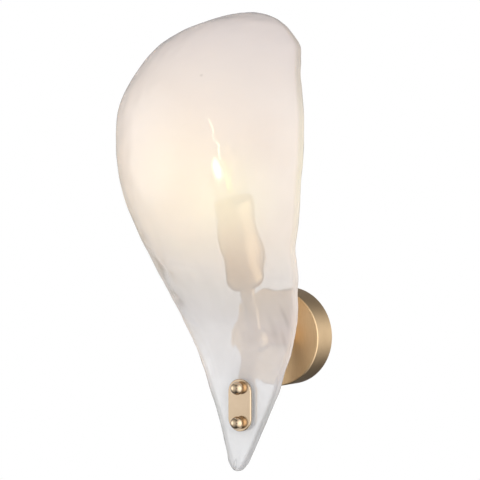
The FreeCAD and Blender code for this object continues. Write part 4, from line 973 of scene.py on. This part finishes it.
# Soft square panels: where each stands, its side, and its power in watts
PANELS = {
    "key_left": ((-1.1, -1.2, 1.0), 0.9, 5),
    "fill_right": ((1.5, -0.7, 0.3), 0.9, 6.7),
    "top": ((0.2, -0.2, 1.6), 1.0, 2.5),
}
PANEL_TARGET = (0, -0.08, 0.1)
BULB_POWER = 0.10
BULB_RADIUS = 0.010
FLOOR_PLACE = (0, -0.1, -0.36)
FLOOR_RADIUS = 3.0
FLOOR_FADE = (0.5, 1.0)  # how far from its middle the floor starts and ends to fade to white
FLOOR_CLOUDS = 0.3333  # size of the clouds in its paint


def compass(turn):
    """Level direction, turned from straight out of the wall towards +X by degrees."""
    angle = math.radians(turn)
    return (math.sin(angle), -math.cos(angle), 0)


def seen_directly(tree):
    """1 for what the camera sees, plainly or through glass, and 0 for light on its way elsewhere."""
    path = node(tree, "ShaderNodeLightPath").outputs
    return node(tree, "ShaderNodeMath", {
        0: path["Is Camera Ray"], 1: path["Is Transmission Ray"],
    }, operation="MAXIMUM").outputs["Value"]


def make_world():
    """Pale studio: white where it is seen, even for plain surfaces, and in metal a dim room, darker
    above and below, with soft boxes round the lamp."""
    world = bpy.data.worlds.new("studio")
    world.use_nodes = True
    tree = world.node_tree
    tree.nodes.clear()
    way = node(tree, "ShaderNodeTexCoord").outputs["Generated"]
    up = node(tree, "ShaderNodeSeparateXYZ", {"Vector": way}).outputs["Z"]
    level = node(tree, "ShaderNodeMapRange", {
        "Value": up, "From Min": -1.0, "From Max": 1.0,
    }).outputs["Result"]
    light = node(tree, "ShaderNodeValToRGB", {"Fac": level}, stops=ROOM_BAND).outputs["Color"]
    squashed = node(tree, "ShaderNodeVectorMath", {
        0: way, 1: BOX_SQUASH,
    }, operation="MULTIPLY").outputs["Vector"]
    box_way = node(tree, "ShaderNodeVectorMath", {0: squashed}, operation="NORMALIZE").outputs["Vector"]
    for turn, wide, strength in SOFT_BOXES:
        facing = node(tree, "ShaderNodeVectorMath", {
            0: box_way, 1: compass(turn),
        }, operation="DOT_PRODUCT").outputs["Value"]
        box = node(tree, "ShaderNodeMapRange", {
            "Value": facing, "From Min": math.cos(math.radians(wide * BOX_FADE)), "From Max": 1.0,
            "To Min": 0.0, "To Max": strength,
        }, interpolation_type="SMOOTHSTEP").outputs["Result"]
        light = node(tree, "ShaderNodeVectorMath", {0: light, 1: box}, operation="ADD").outputs["Vector"]
    light = node(tree, "ShaderNodeVectorMath", {
        0: light, 1: (ROOM_DARKEST, ROOM_DARKEST, ROOM_DARKEST),
    }, operation="MAXIMUM").outputs["Vector"]
    mirrored = node(tree, "ShaderNodeBackground", {
        "Color": light, "Strength": 1.0,
    }).outputs["Background"]
    soft = node(tree, "ShaderNodeBackground", {
        "Color": grey(1.0), "Strength": SKY_STRENGTH,
    }).outputs["Background"]
    white = node(tree, "ShaderNodeBackground", {
        "Color": grey(1.0), "Strength": 1.0,
    }).outputs["Background"]
    in_gloss = node(tree, "ShaderNodeLightPath").outputs["Is Glossy Ray"]
    lit = node(tree, "ShaderNodeMixShader", {0: in_gloss, 1: soft, 2: mirrored}).outputs["Shader"]
    both = node(tree, "ShaderNodeMixShader", {0: seen_directly(tree), 1: lit, 2: white})
    node(tree, "ShaderNodeOutputWorld", {"Surface": both.outputs["Shader"]})
    bpy.context.scene.world = world


def place_light(light, place):
    """Puts a lamp in the scene, with its own shape out of view and out of reflections."""
    holder = bpy.data.objects.new(light.name, light)
    holder.location = place
    holder.visible_camera = False
    holder.visible_glossy = False
    holder.visible_transmission = False
    bpy.context.scene.collection.objects.link(holder)
    return holder


def make_lights():
    """Three soft panels round the lamp, and the lit bulb's own small warm light."""
    for name, (place, side, power) in PANELS.items():
        light = bpy.data.lights.new(name, "AREA")
        light.size = side
        light.energy = power
        facing = Vector(place) - Vector(PANEL_TARGET)
        place_light(light, place).rotation_euler = facing.to_track_quat("Z", "Y").to_euler()
    glow = bpy.data.lights.new("bulb_glow", "POINT")
    glow.energy = BULB_POWER
    glow.color = linear("ffdca0")[:3]
    glow.shadow_soft_size = BULB_RADIUS
    place_light(glow, GLOW_PLACE)


def make_floor():
    """Pale round floor well below the lamp, which fades to the white backdrop."""
    shape = bmesh.new()
    bmesh.ops.create_circle(shape, cap_ends=True, segments=64, radius=FLOOR_RADIUS)
    mesh = mesh_of(shape, "floor")
    floor = bpy.data.objects.new("floor", mesh)
    floor.location = FLOOR_PLACE
    floor.visible_glossy = False
    bpy.context.scene.collection.objects.link(floor)
    material = new_material("painted_floor")
    tree = material.node_tree
    place = node(tree, "ShaderNodeTexCoord").outputs["Object"]
    clouds = node(tree, "ShaderNodeTexNoise", {
        "Vector": place, "Scale": 1 / FLOOR_CLOUDS,
    }).outputs["Fac"]
    colour = node(tree, "ShaderNodeValToRGB", {"Fac": clouds}, stops=[
        (0.3, "efeeec"), (0.7, "f4f3f1"),
    ]).outputs["Color"]
    paint = node(tree, "ShaderNodeBsdfDiffuse", {"Color": colour}).outputs["BSDF"]
    away = node(tree, "ShaderNodeVectorMath", {0: place}, operation="LENGTH").outputs["Value"]
    fade = node(tree, "ShaderNodeMapRange", {
        "Value": away, "From Min": FLOOR_FADE[0], "From Max": FLOOR_FADE[1],
    }, interpolation_type="SMOOTHSTEP").outputs["Result"]
    share = node(tree, "ShaderNodeMath", {
        0: fade, 1: seen_directly(tree),
    }, operation="MULTIPLY").outputs["Value"]
    white = node(tree, "ShaderNodeEmission", {"Color": grey(1.0), "Strength": 1.0}).outputs["Emission"]
    both = node(tree, "ShaderNodeMixShader", {0: share, 1: paint, 2: white}).outputs["Shader"]
    mesh.materials.append(finish_material(material, both))


make_camera()
dress_solids()
make_petal()
make_lamp_glass()
make_ball_nuts()
make_world()
make_lights()
make_floor()

bpy.context.scene.view_settings.view_transform = "Standard"
